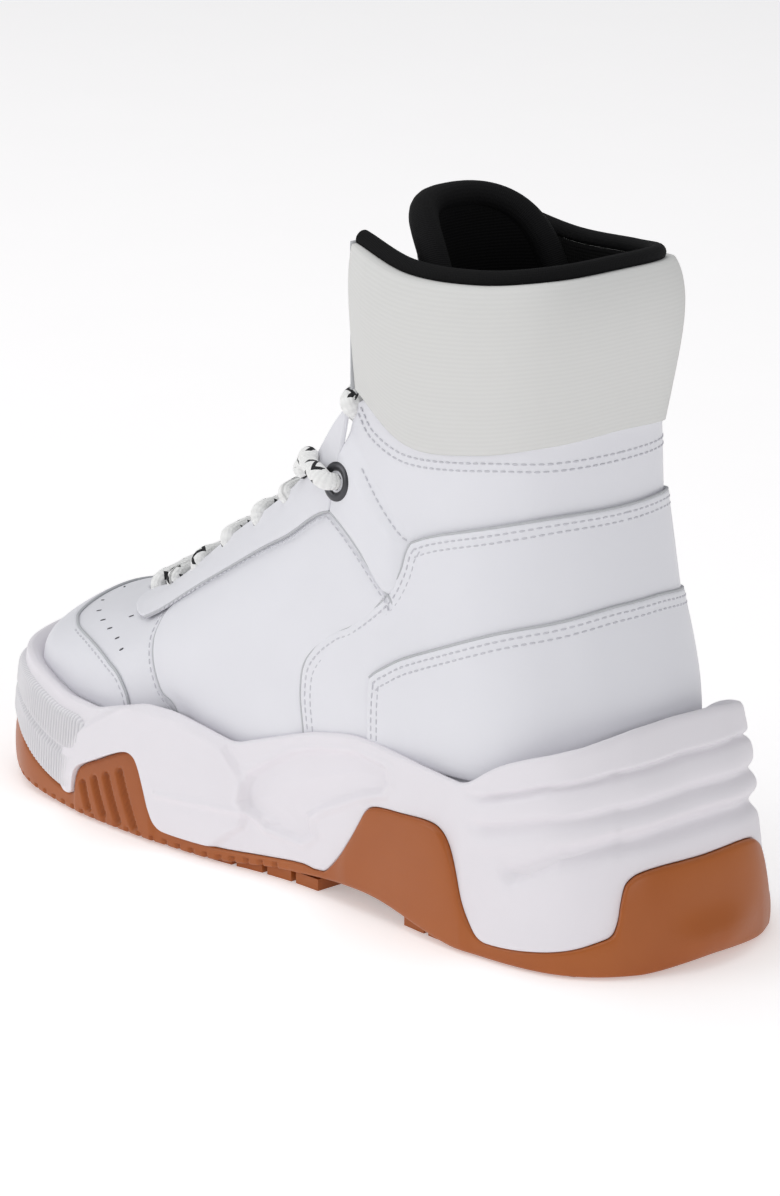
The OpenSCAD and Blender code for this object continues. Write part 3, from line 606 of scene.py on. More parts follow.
def midsole_relief(j, z):
    """How far the wall stands out, in mm, at station j and height z."""
    p = np.stack([j * STATION_MM, z], -1)
    heel = ramp((2.95 - j) / 0.3)
    groove = z - along_line(GROOVE_LINE, j)
    step = z - along_line(STEP_LINE, j)
    hollow = z - along_line(HOLLOW_LINE, j)
    move = heel * (0.3 * ramp((groove - 0.4) / 2.0) - 1.9 * bell(groove, 1.2)
                   + 0.7 * bell(groove + 4.8, 3.4) - 1.9 * bell(step - 0.4, 1.8)
                   - 0.7 * ramp((0.8 - step) / 3) + 0.9 * bell(step + 4.6, 3.0))
    move -= 1.2 * ramp((j - 2.92) / 0.22) * ramp((3.7 - j) / 0.5)
    move -= heel * ramp((2.62 - j) / 0.18) * 2.6 * bell(hollow, 2.8)
    move += heel * 2.0 * ramp((18 - z) / 16)
    pod = inside(p, POD)
    move += 1.6 * ramp((pod + 0.8) / 2.6) + 1.4 * ramp(pod / 14)
    loop = inside(p, LOOP)
    move -= 1.1 * ramp((loop + 1.0) / 2.2) - 0.8 * bell(loop + 1.6, 1.2) - 0.5 * ramp((loop - 3) / 6)
    ridge = np.min([to_segment(p, a, b) for a, b in zip(CREASE[:-1], CREASE[1:])], axis=0)
    move += 0.9 * bell(ridge, 1.3)
    return move


def dense(length, count, first=(0, 0.12, 0.3, 0.6, 1.0, 1.6, 2.4)):
    """Shares from 0 to 1 with close spacing in the first and last millimetres."""
    near = np.array(first) / length
    between = np.linspace(near[-1], 1 - near[-1], count)
    return np.concatenate([near[:-1], between, 1 - near[-2::-1]])


FOAM_MM = 40
FOAM_ROWS = dense(FOAM_MM, 84)


def midsole_wall(side):
    """Outer wall of the midsole on one side: columns by rows."""
    j = np.broadcast_to(COLUMN_J[:, None], (COLUMNS, len(FOAM_ROWS)))
    z = RUBBER_Z[:, None] + 0.1 + (EDGE_Z - RUBBER_Z - 0.1)[:, None] * FOAM_ROWS
    tuck = 0.9 * (1 - rounded(FOAM_ROWS * FOAM_MM, 0.9))
    roll = 1.6 * (1 - rounded((1 - FOAM_ROWS) * FOAM_MM, 1.6))
    return place(wall(j, side, z, -midsole_relief(j, z) + tuck + roll))


def ring_at(heights, inset, inner=None):
    """Ring of points round the sole, with a height and an inset for each column. The inner side has
    an inset of its own if one is given."""
    def half(side):
        """The ring's points on one side."""
        return place(wall(COLUMN_J, side, heights, inset if side > 0 or inner is None else inner))

    return both_sides(half)


FOOT_BED = 30 + (22 - 30) * np.clip((smooth(OUTER_SIDE, COLUMN_J)[:, 1] - 90) / 110, 0, 1)
outside = both_sides(midsole_wall)
# Behind the rolled edge the foam slopes down and closes on the upper, which stands further in.
REACH_OUTER, REACH_INNER = (
    np.interp(COLUMN_J, np.arange(STATIONS + 1), reach)
    for reach in ([9.3, 11.3, 14.3, 6.0, 3.2, 3.2, 6.1, 7.7, 7.2, 5.7, 7.2, 5.3],
                  [9.3, 11.7, 14.7, 7.7, 3.3, 4.7, 6.8, 8.0, 6.8, 4.2, 5.8, 5.3]))
SLOPE_Z = EDGE_Z - 1.4 - 0.32 * (REACH_OUTER - 3.0)
lip = [ring_at(EDGE_Z - 0.1, 2.0), ring_at(EDGE_Z - 0.8, 3.0), ring_at(SLOPE_Z, REACH_OUTER, REACH_INNER),
       ring_at(SLOPE_Z - 1.2, REACH_OUTER, REACH_INNER), ring_at(SLOPE_Z - 3.0, 3.2),
       ring_at(FOOT_BED + 1, 2.6), ring_at(FOOT_BED, 3.6)]
foot = [ring_at(UNDER_Z + 3.2, 2.8), ring_at(np.maximum(RUBBER_Z, UNDER_Z + 3.3), 2.8)]
foam = ring_stack(np.stack([*foot, *outside.transpose(1, 0, 2), *lip]))
build("midsole_foam", *foam, MIDSOLE_FOAM, nodes=["midsole"], slot="white_foam")

# %% [markdown]
# The gum rubber outsole wraps up the wall in three panels. It is crowned, with a rounded top
# edge. The forefoot panel has four slanted slots, and small notches run along its foot.

# %% Outsole
SLOTS = np.array([((7.68, 12.6), (7.6, 4.7)), ((7.5, 15.7), (7.37, 4.7)), ((7.32, 18.6), (7.15, 4.2)),
                  ((7.12, 21.7), (6.91, 4.2))]) * [STATION_MM, 1]
NOTCH_PITCH = 5.2


def rubber_relief(j, z, share):
    """How far the rubber stands out: crowned where the panel is tall, cut by slots and notches."""
    p = np.stack([j * STATION_MM, z], -1)
    tall = (RUBBER_Z - UNDER_Z)[:, None]
    move = 1.1 * ramp((tall - 4) / 12) * np.sqrt(np.clip(1 - (2 * share - 1) ** 2, 0, 1))
    for a, b in SLOTS:
        move -= 1.9 * ramp((1.7 - to_segment(p, a, b)) / 0.9)
    notch = abs((j * STATION_MM) % NOTCH_PITCH - NOTCH_PITCH / 2)
    foot_share = ramp((UNDER_Z[:, None] + 2.6 - z) / 0.6)
    move -= 1.2 * ramp((0.9 - notch) / 0.4) * foot_share * ramp((j - 4.9) / 0.2)
    return move


GUM_ROWS = dense(26, 34)


def rubber_wall(side):
    """Outer wall of the rubber on one side: columns by rows."""
    j = np.broadcast_to(COLUMN_J[:, None], (COLUMNS, len(GUM_ROWS)))
    z = UNDER_Z[:, None] + (RUBBER_Z - UNDER_Z)[:, None] * GUM_ROWS
    roll = 1.3 * (1 - rounded(z - UNDER_Z[:, None], 1.5))
    roll += 0.9 * (1 - rounded(RUBBER_Z[:, None] - z, 1.1))
    heel_lip = 3.0 * ramp((0.9 - j) / 0.8) * bell(z - 9, 7)
    return place(wall(j, side, z, roll - 0.5 - heel_lip - rubber_relief(j, z, GUM_ROWS)))


rubber = both_sides(rubber_wall).transpose(1, 0, 2)
rubber = ring_stack(np.stack([ring_at(UNDER_Z, 8), *rubber, ring_at(RUBBER_Z, 2.5),
                              ring_at(UNDER_Z + 3.0, 2.6), ring_at(UNDER_Z + 3.0, 8)]))
build("gum_outsole", *rubber, GUM, nodes=["outsole"], slot="gum_rubber")

# %% [markdown]
# Round the toe runs a rubber band in two tiers with fine upright ribs. The ribs are a cosine
# along the band, and a groove parts the tiers.

# %% Toe bumper
RIBS_ROUND = 140
RIB_POINTS = 5
BAND_END = 7.62
BAND_MM = 20
band = np.linspace(BAND_END, 2 * STATIONS - BAND_END, RIBS_ROUND * RIB_POINTS + 1)
band_j = np.where(band > STATIONS, 2 * STATIONS - band, band)
band_side = np.where(band > STATIONS, -1, 1)
band_rows = dense(BAND_MM, 22, (0, 0.3, 0.8))
foot = along_line(np.stack([COLUMN_J, RUBBER_Z], -1)[::4], band_j) + 1.2
head = edge_height(band_j) - 4.6 - 4 * ramp((7.9 - band_j) / 0.3)
band_z = mix(foot[:, None], head[:, None], band_rows)


def band_point(z, out):
    """Point of the bumper: out mm proud of the sole wall, on whichever side the column is."""
    j = np.broadcast_to(band_j[:, None], z.shape)
    a, b = wall(j, 1, z, -out), wall(j, -1, z, -out)
    return place(np.where((band_side > 0)[:, None, None], a, b))


parting = mix(foot, head, 0.5)[:, None]
ribbing = 0.55 * np.cos(np.arange(len(band)) * 2 * np.pi / RIB_POINTS)[:, None]
near_edge = np.minimum(band_rows, 1 - band_rows) * BAND_MM
proud = 1.7 * rounded(near_edge, 1.2) - 1.5 * bell(band_z - parting, 0.8)
proud = proud + ribbing * ramp(near_edge / 1.2) * ramp(abs(band_z - parting) / 1.2)
proud = proud * ramp((band_j - 7.6) / 0.25)[:, None]
points, quads = shell(band_point(band_z, proud + 0.1), band_point(band_z, -0.9 + 0 * proud))
turns = np.repeat(np.arange(len(band)) / RIB_POINTS, len(band_rows))
uv = shell_uv(turns, 0 * turns)
RIB_RUBBER = finish("ribbed_rubber", (0.84, 0.83, 0.85), (0.80, 0.79, 0.81), 0.5, mottle,
                    [("Fine", 1500.0)], height="Fine", bump=0.15, depth=0.0002)
# Painted shade keeps the grooves between the ribs a little darker.
between = calc(RIB_RUBBER.node_tree, "PINGPONG", uv_parts(RIB_RUBBER.node_tree)[0], 0.5)
print_over(RIB_RUBBER, between, (0.42, 0.41, 0.45))
build("toe_bumper_ribbed", points, quads, uv, RIB_RUBBER, nodes=["toe_bumper"], slot="white_rubber")

# %% [markdown]
# ## The upper
# The upper is one smooth surface. Ten ribs run up it from the foot bed, and a point is given by
# t, the rib count from the heel centre round by the outer side to the toe, and v, from 0 at the
# foot bed to 4 at the ankle line or the edge of the throat. Leather pieces lie on it in layers.

# %% Upper surface
RIBS = np.array([
    [[0, 22.5, 33], [0, 22.5, 72], [0, 29.5, 108], [0, 34.5, 140], [0, 37.5, 178]],
    [[25, 29, 33], [26, 30, 72], [24, 36, 108], [23, 40, 140], [23, 42, 177]],
    [[39, 49, 33], [40, 51, 72], [37, 56, 108], [34, 59, 140], [33, 61, 172]],
    [[42, 87, 33], [43, 88, 70], [41, 89, 102], [37, 90, 134], [35, 91, 168]],
    [[42, 122, 32], [44, 124, 66], [42, 125, 98], [37, 122, 130], [32, 118, 164]],
    [[44, 158, 29], [46, 155, 56], [45, 151, 84], [39, 147, 109], [30, 145, 131]],
    [[47, 196, 26], [48, 195, 48], [47, 192, 68], [39, 188, 86], [26, 185, 102]],
    [[48, 236, 25], [49, 235, 42], [46, 232, 55], [35, 229, 66], [21, 226, 74]],
    [[42.5, 275, 25], [43, 275, 38], [41, 274, 49], [31, 268, 57], [12, 256, 65]],
    [[0, 297, 26], [0, 298, 39], [0, 293, 49], [0, 281, 58], [0, 259, 65]]], float)
# How far the shoe's centre line stands to the outer side, every 61 mm forward of the heel.
SWING = [0, 1.5, 3, 2, -1, -6]
SWING_MM = 61
LAST = 9
FLIP = np.array([-1.0, 1.0, 1.0])


def fold(t):
    """Rib count from 0 to 9 and side for a position t that may run past the heel or toe centre."""
    t = np.asarray(t, float)
    return np.where(t < 0, -t, np.where(t > LAST, 2 * LAST - t, t)), np.where((t < 0) | (t > LAST), -1.0, 1.0)


def swing(forward):
    """How far the centre line stands to the outer side at a distance forward of the heel."""
    return smooth(SWING, np.clip(forward / SWING_MM, 0, len(SWING) - 1))


def skin(t, v):
    """Point of the upper in the model's frame: a Catmull-Rom curve up the rib that is itself a
    Catmull-Rom mix of the ribs round the shoe."""
    q, side = fold(t)
    v = np.asarray(v, float)
    rib = smooth(RIBS, q, RIBS[1] * FLIP, RIBS[8] * FLIP)
    first = 2 * rib[..., :1, :] - rib[..., 1:2, :]
    last = 2 * rib[..., 4:, :] - rib[..., 3:4, :]
    rib = np.concatenate([first, rib, last], -2)
    i = np.clip(np.floor(v).astype(int), 0, 3)
    four = [np.take_along_axis(rib, (i + k)[..., None, None], -2)[..., 0, :] for k in range(4)]
    p = hermite(*four, (v - i)[..., None])
    x = side * p[..., 0] + swing(p[..., 1])
    return place(np.stack([x, p[..., 1], p[..., 2]], -1))


def skin_normal(t, v):
    """Normal of the upper, pointing out: across v, then across t."""
    step = 0.04
    return unit(np.cross(skin(t, v + step) - skin(t, v - step), skin(t + step, v) - skin(t - step, v)))


def raised(t, v, height):
    """Point that height mm above the upper."""
    t, v, height = np.broadcast_arrays(np.asarray(t, float), v, height)
    return skin(t, v) + height[..., None] * skin_normal(t, v)


print("upper surface with", LAST + 1, "ribs")

# %% [markdown]
# A leather piece is cut to an outline of four smooth edges. A Coons patch fills it: it mixes the
# low and high edges, mixes the left and right ones, and takes away the corners counted twice.
# The face is rounded at the cut edge and swells a little towards the middle over its backing.

# %% Leather pieces
def patch(low, high, left, right, su, sv):
    """Coons patch in (t, v) between four lines; left and right join the ends of low and high."""
    a, b = line(low, su)[:, None], line(high, su)[:, None]
    c, d = line(left, sv)[None], line(right, sv)[None]
    u, v = su[:, None, None], sv[None, :, None]
    corners = (1 - u) * (1 - v) * a[0] + u * (1 - v) * a[-1] + (1 - u) * v * b[0] + u * v * b[-1]
    return (1 - v) * a + v * b + (1 - u) * c + u * d - corners


def edge_distances(points):
    """Distance in mm of each grid point from the left, right, low and high edges."""
    def run(axis):
        steps = np.linalg.norm(np.diff(points, axis=axis), axis=-1)
        zero = np.zeros_like(steps[:1] if axis == 0 else steps[:, :1])
        total = np.cumsum(np.concatenate([zero, steps], axis=axis), axis=axis)
        end = total[-1:] if axis == 0 else total[:, -1:]
        return total, end - total
    return (*run(0), *run(1))


def puff(d):
    """Share of its full swell that leather has d mm inside its edge: 1 - exp(-(d - 5) / 7) past 5 mm."""
    return 1 - np.exp(-np.clip(d - 5, 0, 99) / 7)


PIECES = {}


def leather(name, low, high, left, right, base, thickness=1.4, swell=0.5, columns=110, rows=60,
            nodes=(), lift=None):
    """Closed leather piece on the upper; base is its height above the skin."""
    spans = [np.linalg.norm(np.diff(skin(*line(edge, np.linspace(0, 1, 60)).T), axis=0), axis=1).sum()
             for edge in (low, left)]
    su, sv = dense(max(spans[0], 12), columns), dense(max(spans[1], 12), rows)
    tv = patch(low, high, left, right, su, sv)
    flat, normal = skin(tv[..., 0], tv[..., 1]), skin_normal(tv[..., 0], tv[..., 1])
    distances = edge_distances(flat)
    nearest = np.min(distances, axis=0)
    under = base + (0 if lift is None else lift(tv[..., 0], tv[..., 1]))
    over = under + thickness * (0.2 + 0.8 * rounded(nearest, 1.1)) + swell * puff(nearest)
    points, quads = shell(flat + over[..., None] * normal, flat + (under + 0 * over)[..., None] * normal)
    uv = shell_uv(distances[0], distances[2])
    PIECES[name] = (base, thickness, swell, lift)
    return build(name, points, quads, uv, WHITE_LEATHER, nodes=nodes, slot="white_leather")


def mirrored(points, toe=False):
    """The same line on the inner side."""
    return [((2 * LAST - t) if toe else -t, v) for t, v in points]


def on_side(sign, points, toe=False):
    """The line on the outer (1) or the inner (-1) side."""
    return points if sign > 0 else mirrored(points, toe)


def across_heel(points):
    """A line from the inner side round the heel to the outer side, from its outer half."""
    return mirrored(points) + points[-2::-1]


print("leather pieces can be cut")

# %% Vamp and toe cap
SOLE_V = 0.1
leather("vamp_leather",
        [(5.4, SOLE_V), (7.5, SOLE_V), (9, SOLE_V), (10.5, SOLE_V), (12.6, SOLE_V)],
        [(5.9, 3.1), (6.6, 3.6), (7.4, 3.93), (8.2, 4.02), (9, 4.04), (9.8, 4.02), (10.6, 3.93), (11.4, 3.6),
         (12.1, 3.1)],
        [(5.4, SOLE_V), (5.6, 1.2), (5.8, 2.2), (5.9, 3.1)],
        [(12.6, SOLE_V), (12.4, 1.2), (12.2, 2.2), (12.1, 3.1)],
        -0.3, columns=150, rows=70, nodes=["vamp"], swell=0.3)
CAP_EDGE = [(6.5, 0.3), (6.56, 0.8), (6.61, 1.05), (6.76, 1.44), (6.96, 1.73), (7.34, 2.22), (7.65, 2.54),
            (7.9, 2.78), (8.3, 2.95), (9, 3.02)]
CAP_HIGH = CAP_EDGE + mirrored(CAP_EDGE[-2::-1], toe=True)
leather("toe_cap_leather",
        [(6.5, 0.2), (7.5, 0.12), (9, 0.1), (10.5, 0.12), (11.5, 0.2)], CAP_HIGH,
        [(6.5, 0.2), (6.5, 0.3)], [(11.5, 0.2), (11.5, 0.3)], 1.0, columns=170, rows=60, nodes=["toe_cap"])

# %% Side panels
FRONT = [(5.75, 0.02), (5.92, 0.86), (6.12, 1.15), (6.23, 1.5), (6.34, 1.98), (6.41, 2.34), (6.44, 2.75),
         (6.36, 3.05)]
MID_FRONT = [(4.24, 0.1), (4.2, 0.65), (4.21, 1.1), (4.12, 1.4), (3.76, 1.66), (3.51, 1.79), (3.14, 2.13),
             (2.99, 2.39), (2.93, 2.6), (2.87, 2.7)]
STRAP_EDGE = [(3.02, 2.03), (3.11, 2.17), (3.52, 2.55), (4.04, 2.93)]
EYE_LOW = [(4.04, 2.93), (4.63, 3.05), (5.18, 3.17), (5.56, 3.15), (6.12, 3.02), (6.5, 2.84), (6.74, 2.75)]
# The side panel runs under the overlay, the strap and the eyestay at three of its edges.
PANEL_EDGES = [
    [(4.05, 0.1), (4.6, 0.1), (5.75, 0.1)],
    [(4.0, 3.12), (4.7, 3.2), (5.2, 3.32), (5.8, 3.3), (6.36, 3.05)],
    [(4.05, 0.1), (4.05, 0.7), (4.05, 1.1), (3.9, 1.4), (3.4, 1.7), (2.95, 2.0), (3.3, 2.55), (3.7, 2.9),
     (4.0, 3.12)],
    FRONT]
EYESTAY_EDGES = [
    EYE_LOW,
    [(4.06, 3.98), (4.6, 4.0), (5.2, 4.02), (6.0, 4.03), (6.8, 4.02), (7.42, 3.92)],
    [(4.04, 2.93), (4.03, 3.3), (4.04, 3.7), (4.06, 3.98)],
    [(6.74, 2.75), (6.98, 2.95), (7.24, 3.35), (7.42, 3.92)]]
for sign, tag in ((1, "outer"), (-1, "inner")):
    leather(f"quarter_{tag}_leather", *(on_side(sign, edge, toe=True) for edge in PANEL_EDGES),
            1.2, rows=90, nodes=[f"quarter_{tag}"], swell=1.0, thickness=1.2)
    leather(f"eyestay_{tag}_leather", *(on_side(sign, edge, toe=True) for edge in EYESTAY_EDGES),
            2.3, rows=30, nodes=[f"eyestay_{tag}"], swell=0.25, thickness=1.5)

# %% Ankle and heel pieces
MID_TOP = [(2.87, 2.7), (2.6, 2.76), (1.96, 2.83), (1.03, 3.0), (0, 3.02)]
LOW_TOP = [(3.25, 1.3), (3.12, 1.4), (2.83, 1.55), (2.25, 1.72), (1.38, 1.92), (0.53, 2.05), (0, 2.07)]


def strap_lift(t, v):
    """The ankle piece climbs over the side panel ahead of its second line of stitches."""
    q, _ = fold(t)
    second = np.interp(v, [2.0, 2.71, 2.77, 2.99, 3.2, 3.34, 3.7, 4.0],
                       [2.9, 2.95, 3.03, 3.28, 3.52, 3.67, 4.1, 4.4])
    return 2.3 * ramp((q - second + 0.12) / 0.34)


ANKLE_FRONT = [(4.04, 2.93), (4.07, 3.4), (4.04, 3.7), (4.02, 3.98)]
LOW_FRONT = [(3.3, 0.55), (3.29, 0.8), (3.28, 1.0), (3.27, 1.15), (3.25, 1.3)]
leather("ankle_leather",
        across_heel([(4.04, 2.93), (3.52, 2.55), (3.11, 2.17), (2.9, 2.5), (2.6, 2.66), (1.96, 2.7),
                     (1.03, 2.85), (0, 2.9)]),
        across_heel([(4.02, 3.98), (3.6, 3.98), (2, 3.98), (1, 3.98), (0, 3.98)]),
        mirrored(ANKLE_FRONT), ANKLE_FRONT,
        0.0, columns=240, rows=56, nodes=["ankle_panel"], swell=0.3, lift=strap_lift)
leather("heel_middle_leather",
        [(-4.24, 0.1), (-2, 0.1), (0, 0.1), (2, 0.1), (4.24, 0.1)], across_heel(MID_TOP),
        mirrored(MID_FRONT), MID_FRONT, 1.7, columns=220, rows=90, nodes=["heel_overlay_middle"])
leather("heel_lower_leather",
        [(-3.3, 0.55), (-2, 0.55), (0, 0.6), (2, 0.55), (3.3, 0.55)], across_heel(LOW_TOP),
        mirrored(LOW_FRONT), LOW_FRONT, 3.3, columns=200, nodes=["heel_overlay_lower"])

# %% [markdown]
# ## Stitches
# Each stitch is a short round-ended bead of thread, laid along a line that keeps its distance
# from a leather edge. One bead's few faces are copied to every place by array arithmetic.

# %% Stitches
def bead():
    """Bead of unit half length, width and height: five rings of six points, points and faces."""
    x = np.array([-1.0, -0.72, 0.0, 0.72, 1.0])
    r = np.array([0.35, 0.85, 1.0, 0.85, 0.35])
    a = np.arange(6) * np.pi / 3
    ring = np.broadcast_arrays(x[:, None], np.cos(a) * r[:, None], np.sin(a) * r[:, None])
    points = np.stack(ring, -1).reshape(-1, 3)
    i, j = np.meshgrid(np.arange(4), np.arange(6), indexing="ij")
    i, j = i.ravel() * 6, j.ravel()
    quads = np.stack([i + j, i + (j + 1) % 6, i + 6 + (j + 1) % 6, i + 6 + j], -1)
    caps = np.array([[0, 1, 2, 3], [0, 3, 4, 5]])
    return points, closed(points, np.concatenate([quads, caps[:, ::-1], caps + 24]))


def beads(centres, along, up, size):
    """Copies of the bead at centres, with half length, width and height in size."""
    points, quads = bead()
    side = unit(np.cross(up, along))
    up = np.cross(along, side)
    placed = (centres[:, None] + points[None, :, :1] * size[0] * along[:, None]
              + points[None, :, 1:2] * size[1] * side[:, None]
              + points[None, :, 2:] * size[2] * up[:, None])
    faces = quads[None] + len(points) * np.arange(len(centres))[:, None, None]
    return placed.reshape(-1, 3), faces.reshape(-1, 4)


def inset_line(points, distance, piece, rise=0.0, count=400):
    """Points of the face of a leather piece at a distance inside one of its edges: the edge is
    moved across itself in (t, v) by the step that the surface's slopes turn into that distance."""
    tv = line(points, np.linspace(0, 1, count))
    step = 0.03
    dt = (skin(tv[:, 0] + step, tv[:, 1]) - skin(tv[:, 0] - step, tv[:, 1])) / (2 * step)
    dv = (skin(tv[:, 0], tv[:, 1] + step) - skin(tv[:, 0], tv[:, 1] - step)) / (2 * step)
    p, n = skin(tv[:, 0], tv[:, 1]), skin_normal(tv[:, 0], tv[:, 1])
    inward = np.cross(n, unit(np.gradient(p, axis=0))) * distance
    a, b, c = (dt * dt).sum(-1), (dt * dv).sum(-1), (dv * dv).sum(-1)
    e, f = (inward * dt).sum(-1), (inward * dv).sum(-1)
    det = a * c - b * b
    tv = tv + np.stack([(c * e - b * f) / det, (a * f - b * e) / det], -1)
    base, thickness, swell, lift = PIECES[piece]
    height = base + thickness + rise + (0 if lift is None else lift(tv[:, 0], tv[:, 1]))
    height = height + swell * puff(abs(distance)) + 0.02
    return raised(tv[:, 0], tv[:, 1], height), skin_normal(tv[:, 0], tv[:, 1])


STITCH_PITCH = 2.8
STITCH_SIZE = (0.95, 0.34, 0.24)


def stitch_run(path, normal):
    """Evenly spaced beads along a path."""
    run = lengths(path)
    at = np.arange(STITCH_PITCH / 2, run[-1], STITCH_PITCH)
    centre, ahead = read_at(at, run, path), read_at(at + 0.6, run, path)
    return beads(centre, unit(ahead - centre), unit(read_at(at, run, normal)), STITCH_SIZE)


def join(parts):
    """One set of points and faces from several."""
    start, points, quads = 0, [], []
    for p, q in parts:
        points.append(p)
        quads.append(q + start)
        start += len(p)
    return np.concatenate(points), np.concatenate(quads)


def joined(name, parts, material, **keep):
    """One piece from several sets of points and faces."""
    points, quads = join(parts)
    return build(name, points, quads, np.zeros((len(points), 2)), material, **keep)


def seam_on(sign, points, toe=False):
    """The line on one side, run so that the leather's inside stays on the same hand."""
    return points if sign > 0 else mirrored(points, toe)[::-1]


# A seam is an edge line, its distance inside that edge, the leather piece, and how far it is raised.
PAD_RISE = 0.32
UNDER_COLLAR = [(3.93, 3.87), (3.6, 3.62), (3.02, 3.47), (2.34, 3.41), (1.43, 3.41), (0.58, 3.41), (0, 3.41)]
LOW_SEAM = [(3.3, 0.55), (3.28, 1.0), (3.25, 1.3)]
STRAP_SEAM = [(3.67, 3.34), (3.52, 3.2), (3.29, 2.99), (3.03, 2.77), (2.91, 2.71)]
FIRST_GAP, SECOND_GAP = 2.3, 4.7
heel_seams = []
toe_seams = []
for sign, tag in ((1, "outer"), (-1, "inner")):
    for gap in (FIRST_GAP, SECOND_GAP):
        for edge, piece in ((MID_TOP, "heel_middle_leather"), (MID_FRONT, "heel_middle_leather"),
                            (LOW_TOP, "heel_lower_leather"), (LOW_SEAM, "heel_lower_leather")):
            heel_seams.append((seam_on(sign, edge), -gap, piece))
        heel_seams.append((seam_on(sign, UNDER_COLLAR), gap - FIRST_GAP, "ankle_leather", PAD_RISE))
    heel_seams.append((seam_on(sign, STRAP_EDGE), 1.9, "ankle_leather"))
    heel_seams.append((seam_on(sign, STRAP_SEAM), 0.0, "ankle_leather", PAD_RISE))
    for edge, gap, piece in ((CAP_EDGE[1:7], 1.6, "toe_cap_leather"),
                             (FRONT[1:-1], 1.8, f"quarter_{tag}_leather"),
                             (EYE_LOW[:-1], 1.6, f"eyestay_{tag}_leather")):
        toe_seams.append((seam_on(sign, edge, toe=True), gap, piece))
joined("heel_stitches", [stitch_run(*inset_line(*seam)) for seam in heel_seams], THREAD)
joined("toe_stitches", [stitch_run(*inset_line(*seam)) for seam in toe_seams], THREAD)

# %% [markdown]
# The leather is cut, not folded, so a grey edge shows along each piece, and the grey of the cord also paints
# the shade that falls along each overlapping edge. It is a thin cord that follows the edge line half way up
# the leather's thickness.

# %% Cut edges
EDGE_RADIUS = 0.5
EDGE_SUNK = 0.62


def cut_edge(points, piece):
    """Cord along one edge of a leather piece."""
    path, normal = inset_line(points, 0.0, piece, count=260)
    path = path - EDGE_SUNK * normal
    side = unit(np.cross(normal, unit(np.gradient(path, axis=0))))
    return tube(path, side, normal, EDGE_RADIUS, EDGE_RADIUS, 8)[:2]


EDGES = [(MID_TOP, "heel_middle_leather"), (MID_FRONT, "heel_middle_leather"),
         (LOW_TOP, "heel_lower_leather"), (CAP_EDGE, "toe_cap_leather"), (STRAP_EDGE, "ankle_leather")]
parts = []
for points, piece in EDGES:
    toe = piece == "toe_cap_leather"
    parts += [cut_edge(points, piece), cut_edge(mirrored(points, toe=toe), piece)]
for sign, tag in ((1, "outer"), (-1, "inner")):
    for edge, piece in ((EYE_LOW, "eyestay"), (FRONT, "quarter")):
        parts.append(cut_edge(on_side(sign, edge, toe=True), f"{piece}_{tag}_leather"))
# The cords' grey is partly the cut edge's own colour and partly painted shade under each overlapping edge.
joined("grey_edge_and_shade_cords", parts, EDGE_GREY_AND_SHADE)

# %% [markdown]
# The vamp is pierced with short slits for air. Each shows as a dark dimple just in the surface, its dark
# colour painted shade inside the slit.

# %% Perforations
HOLES = [(7.48, 2.86), (7.16, 2.99), (7.27, 2.61), (7.05, 2.34), (6.87, 3.22), (6.86, 2.05), (7.75, 3.12),
         (8.2, 3.25), (8.65, 3.3)]
HOLE_SIZE = (1.2, 0.42, 0.12)
VAMP_FACE = 1.42
hole_t, hole_v = np.array(HOLES + mirrored(HOLES, toe=True)).T
centre = raised(hole_t, hole_v, VAMP_FACE)
ahead = raised(hole_t - 0.05, hole_v + 0.05, VAMP_FACE)
joined("toe_perforations", [beads(centre, unit(ahead - centre), skin_normal(hole_t, hole_v), HOLE_SIZE)], HOLE_SHADE)

# %% Lining of the boot
RIB_MM = 33
boot_t, boot_v = np.meshgrid(np.linspace(-8.2, 8.2, 150), np.linspace(0, 1, 24), indexing="ij")
boot_high = np.interp(abs(boot_t), [0, 3, 3.5, 4.4, 4.7, 6, 8.2], [3.6, 3.5, 3.0, 2.95, 3.0, 3.0, 2.9])
boot_v = mix(0.25, boot_high, boot_v)
points, quads = shell(raised(boot_t, boot_v, -3.4), raised(boot_t, boot_v, -4.4))
uv = shell_uv(boot_t * RIB_MM, boot_v * RIB_MM)
build("boot_lining_cloth", points, quads, uv, BLACK_KNIT, nodes=["boot_lining"], slot="black_textile")

# %% [markdown]
# ## The collar
# The collar is a thick foam pad in ribbed jersey that swells out round the ankle. Its centre
# line in plan is a smooth curve; a point is that line moved out by the pad's fullness, which is
# the square root of a sine up the pad, so it is full in the middle.

# %% Collar surface
COLLAR_PLAN = [[0, 37.5], [22.5, 42], [33, 61.5], [35, 90], [32, 117]]
COLLAR_LOW = [165, 163, 158, 156, 169]
COLLAR_HIGH = [217, 216, 213, 212, 217]
COLLAR_END = 3.98
PAD = 13.0


def collar_base(t):
    """Centre line of the collar in plan, in the model's frame."""
    q, side = fold(t)
    p = smooth(COLLAR_PLAN, q, np.array(COLLAR_PLAN[1]) * [-1, 1])
    x = side * p[..., 0] + swing(p[..., 1])
    return place(np.stack([x, p[..., 1], 0 * x], -1))


def collar_point(t, share, out):
    """Point of the collar at a share of its height, out mm from its centre line."""
    t, share, out = np.broadcast_arrays(np.asarray(t, float), share, out)
    d = unit(collar_base(t + 0.03) - collar_base(t - 0.03))
    n = np.stack([-d[..., 1], d[..., 0], 0 * d[..., 0]], -1)
    low, high = (smooth(heights, abs(t), heights[1]) for heights in (COLLAR_LOW, COLLAR_HIGH))
    p = collar_base(t) + n * out[..., None]
    return np.stack([p[..., 0], p[..., 1], mix(low, high, share)], -1)


def fullness(share):
    """1 a little above the middle of the pad's height, 0 at its edges: the root of a sine."""
    return np.clip(np.sin(np.pi * np.clip(share * 0.94 + 0.03, 0, 1) ** 2.0), 0, 1) ** 0.5


def end_taper(t):
    """Thins the pad towards the two front ends of the collar."""
    return np.clip((COLLAR_END + 0.12 - abs(t)) / 0.55, 0, 1) ** 0.5


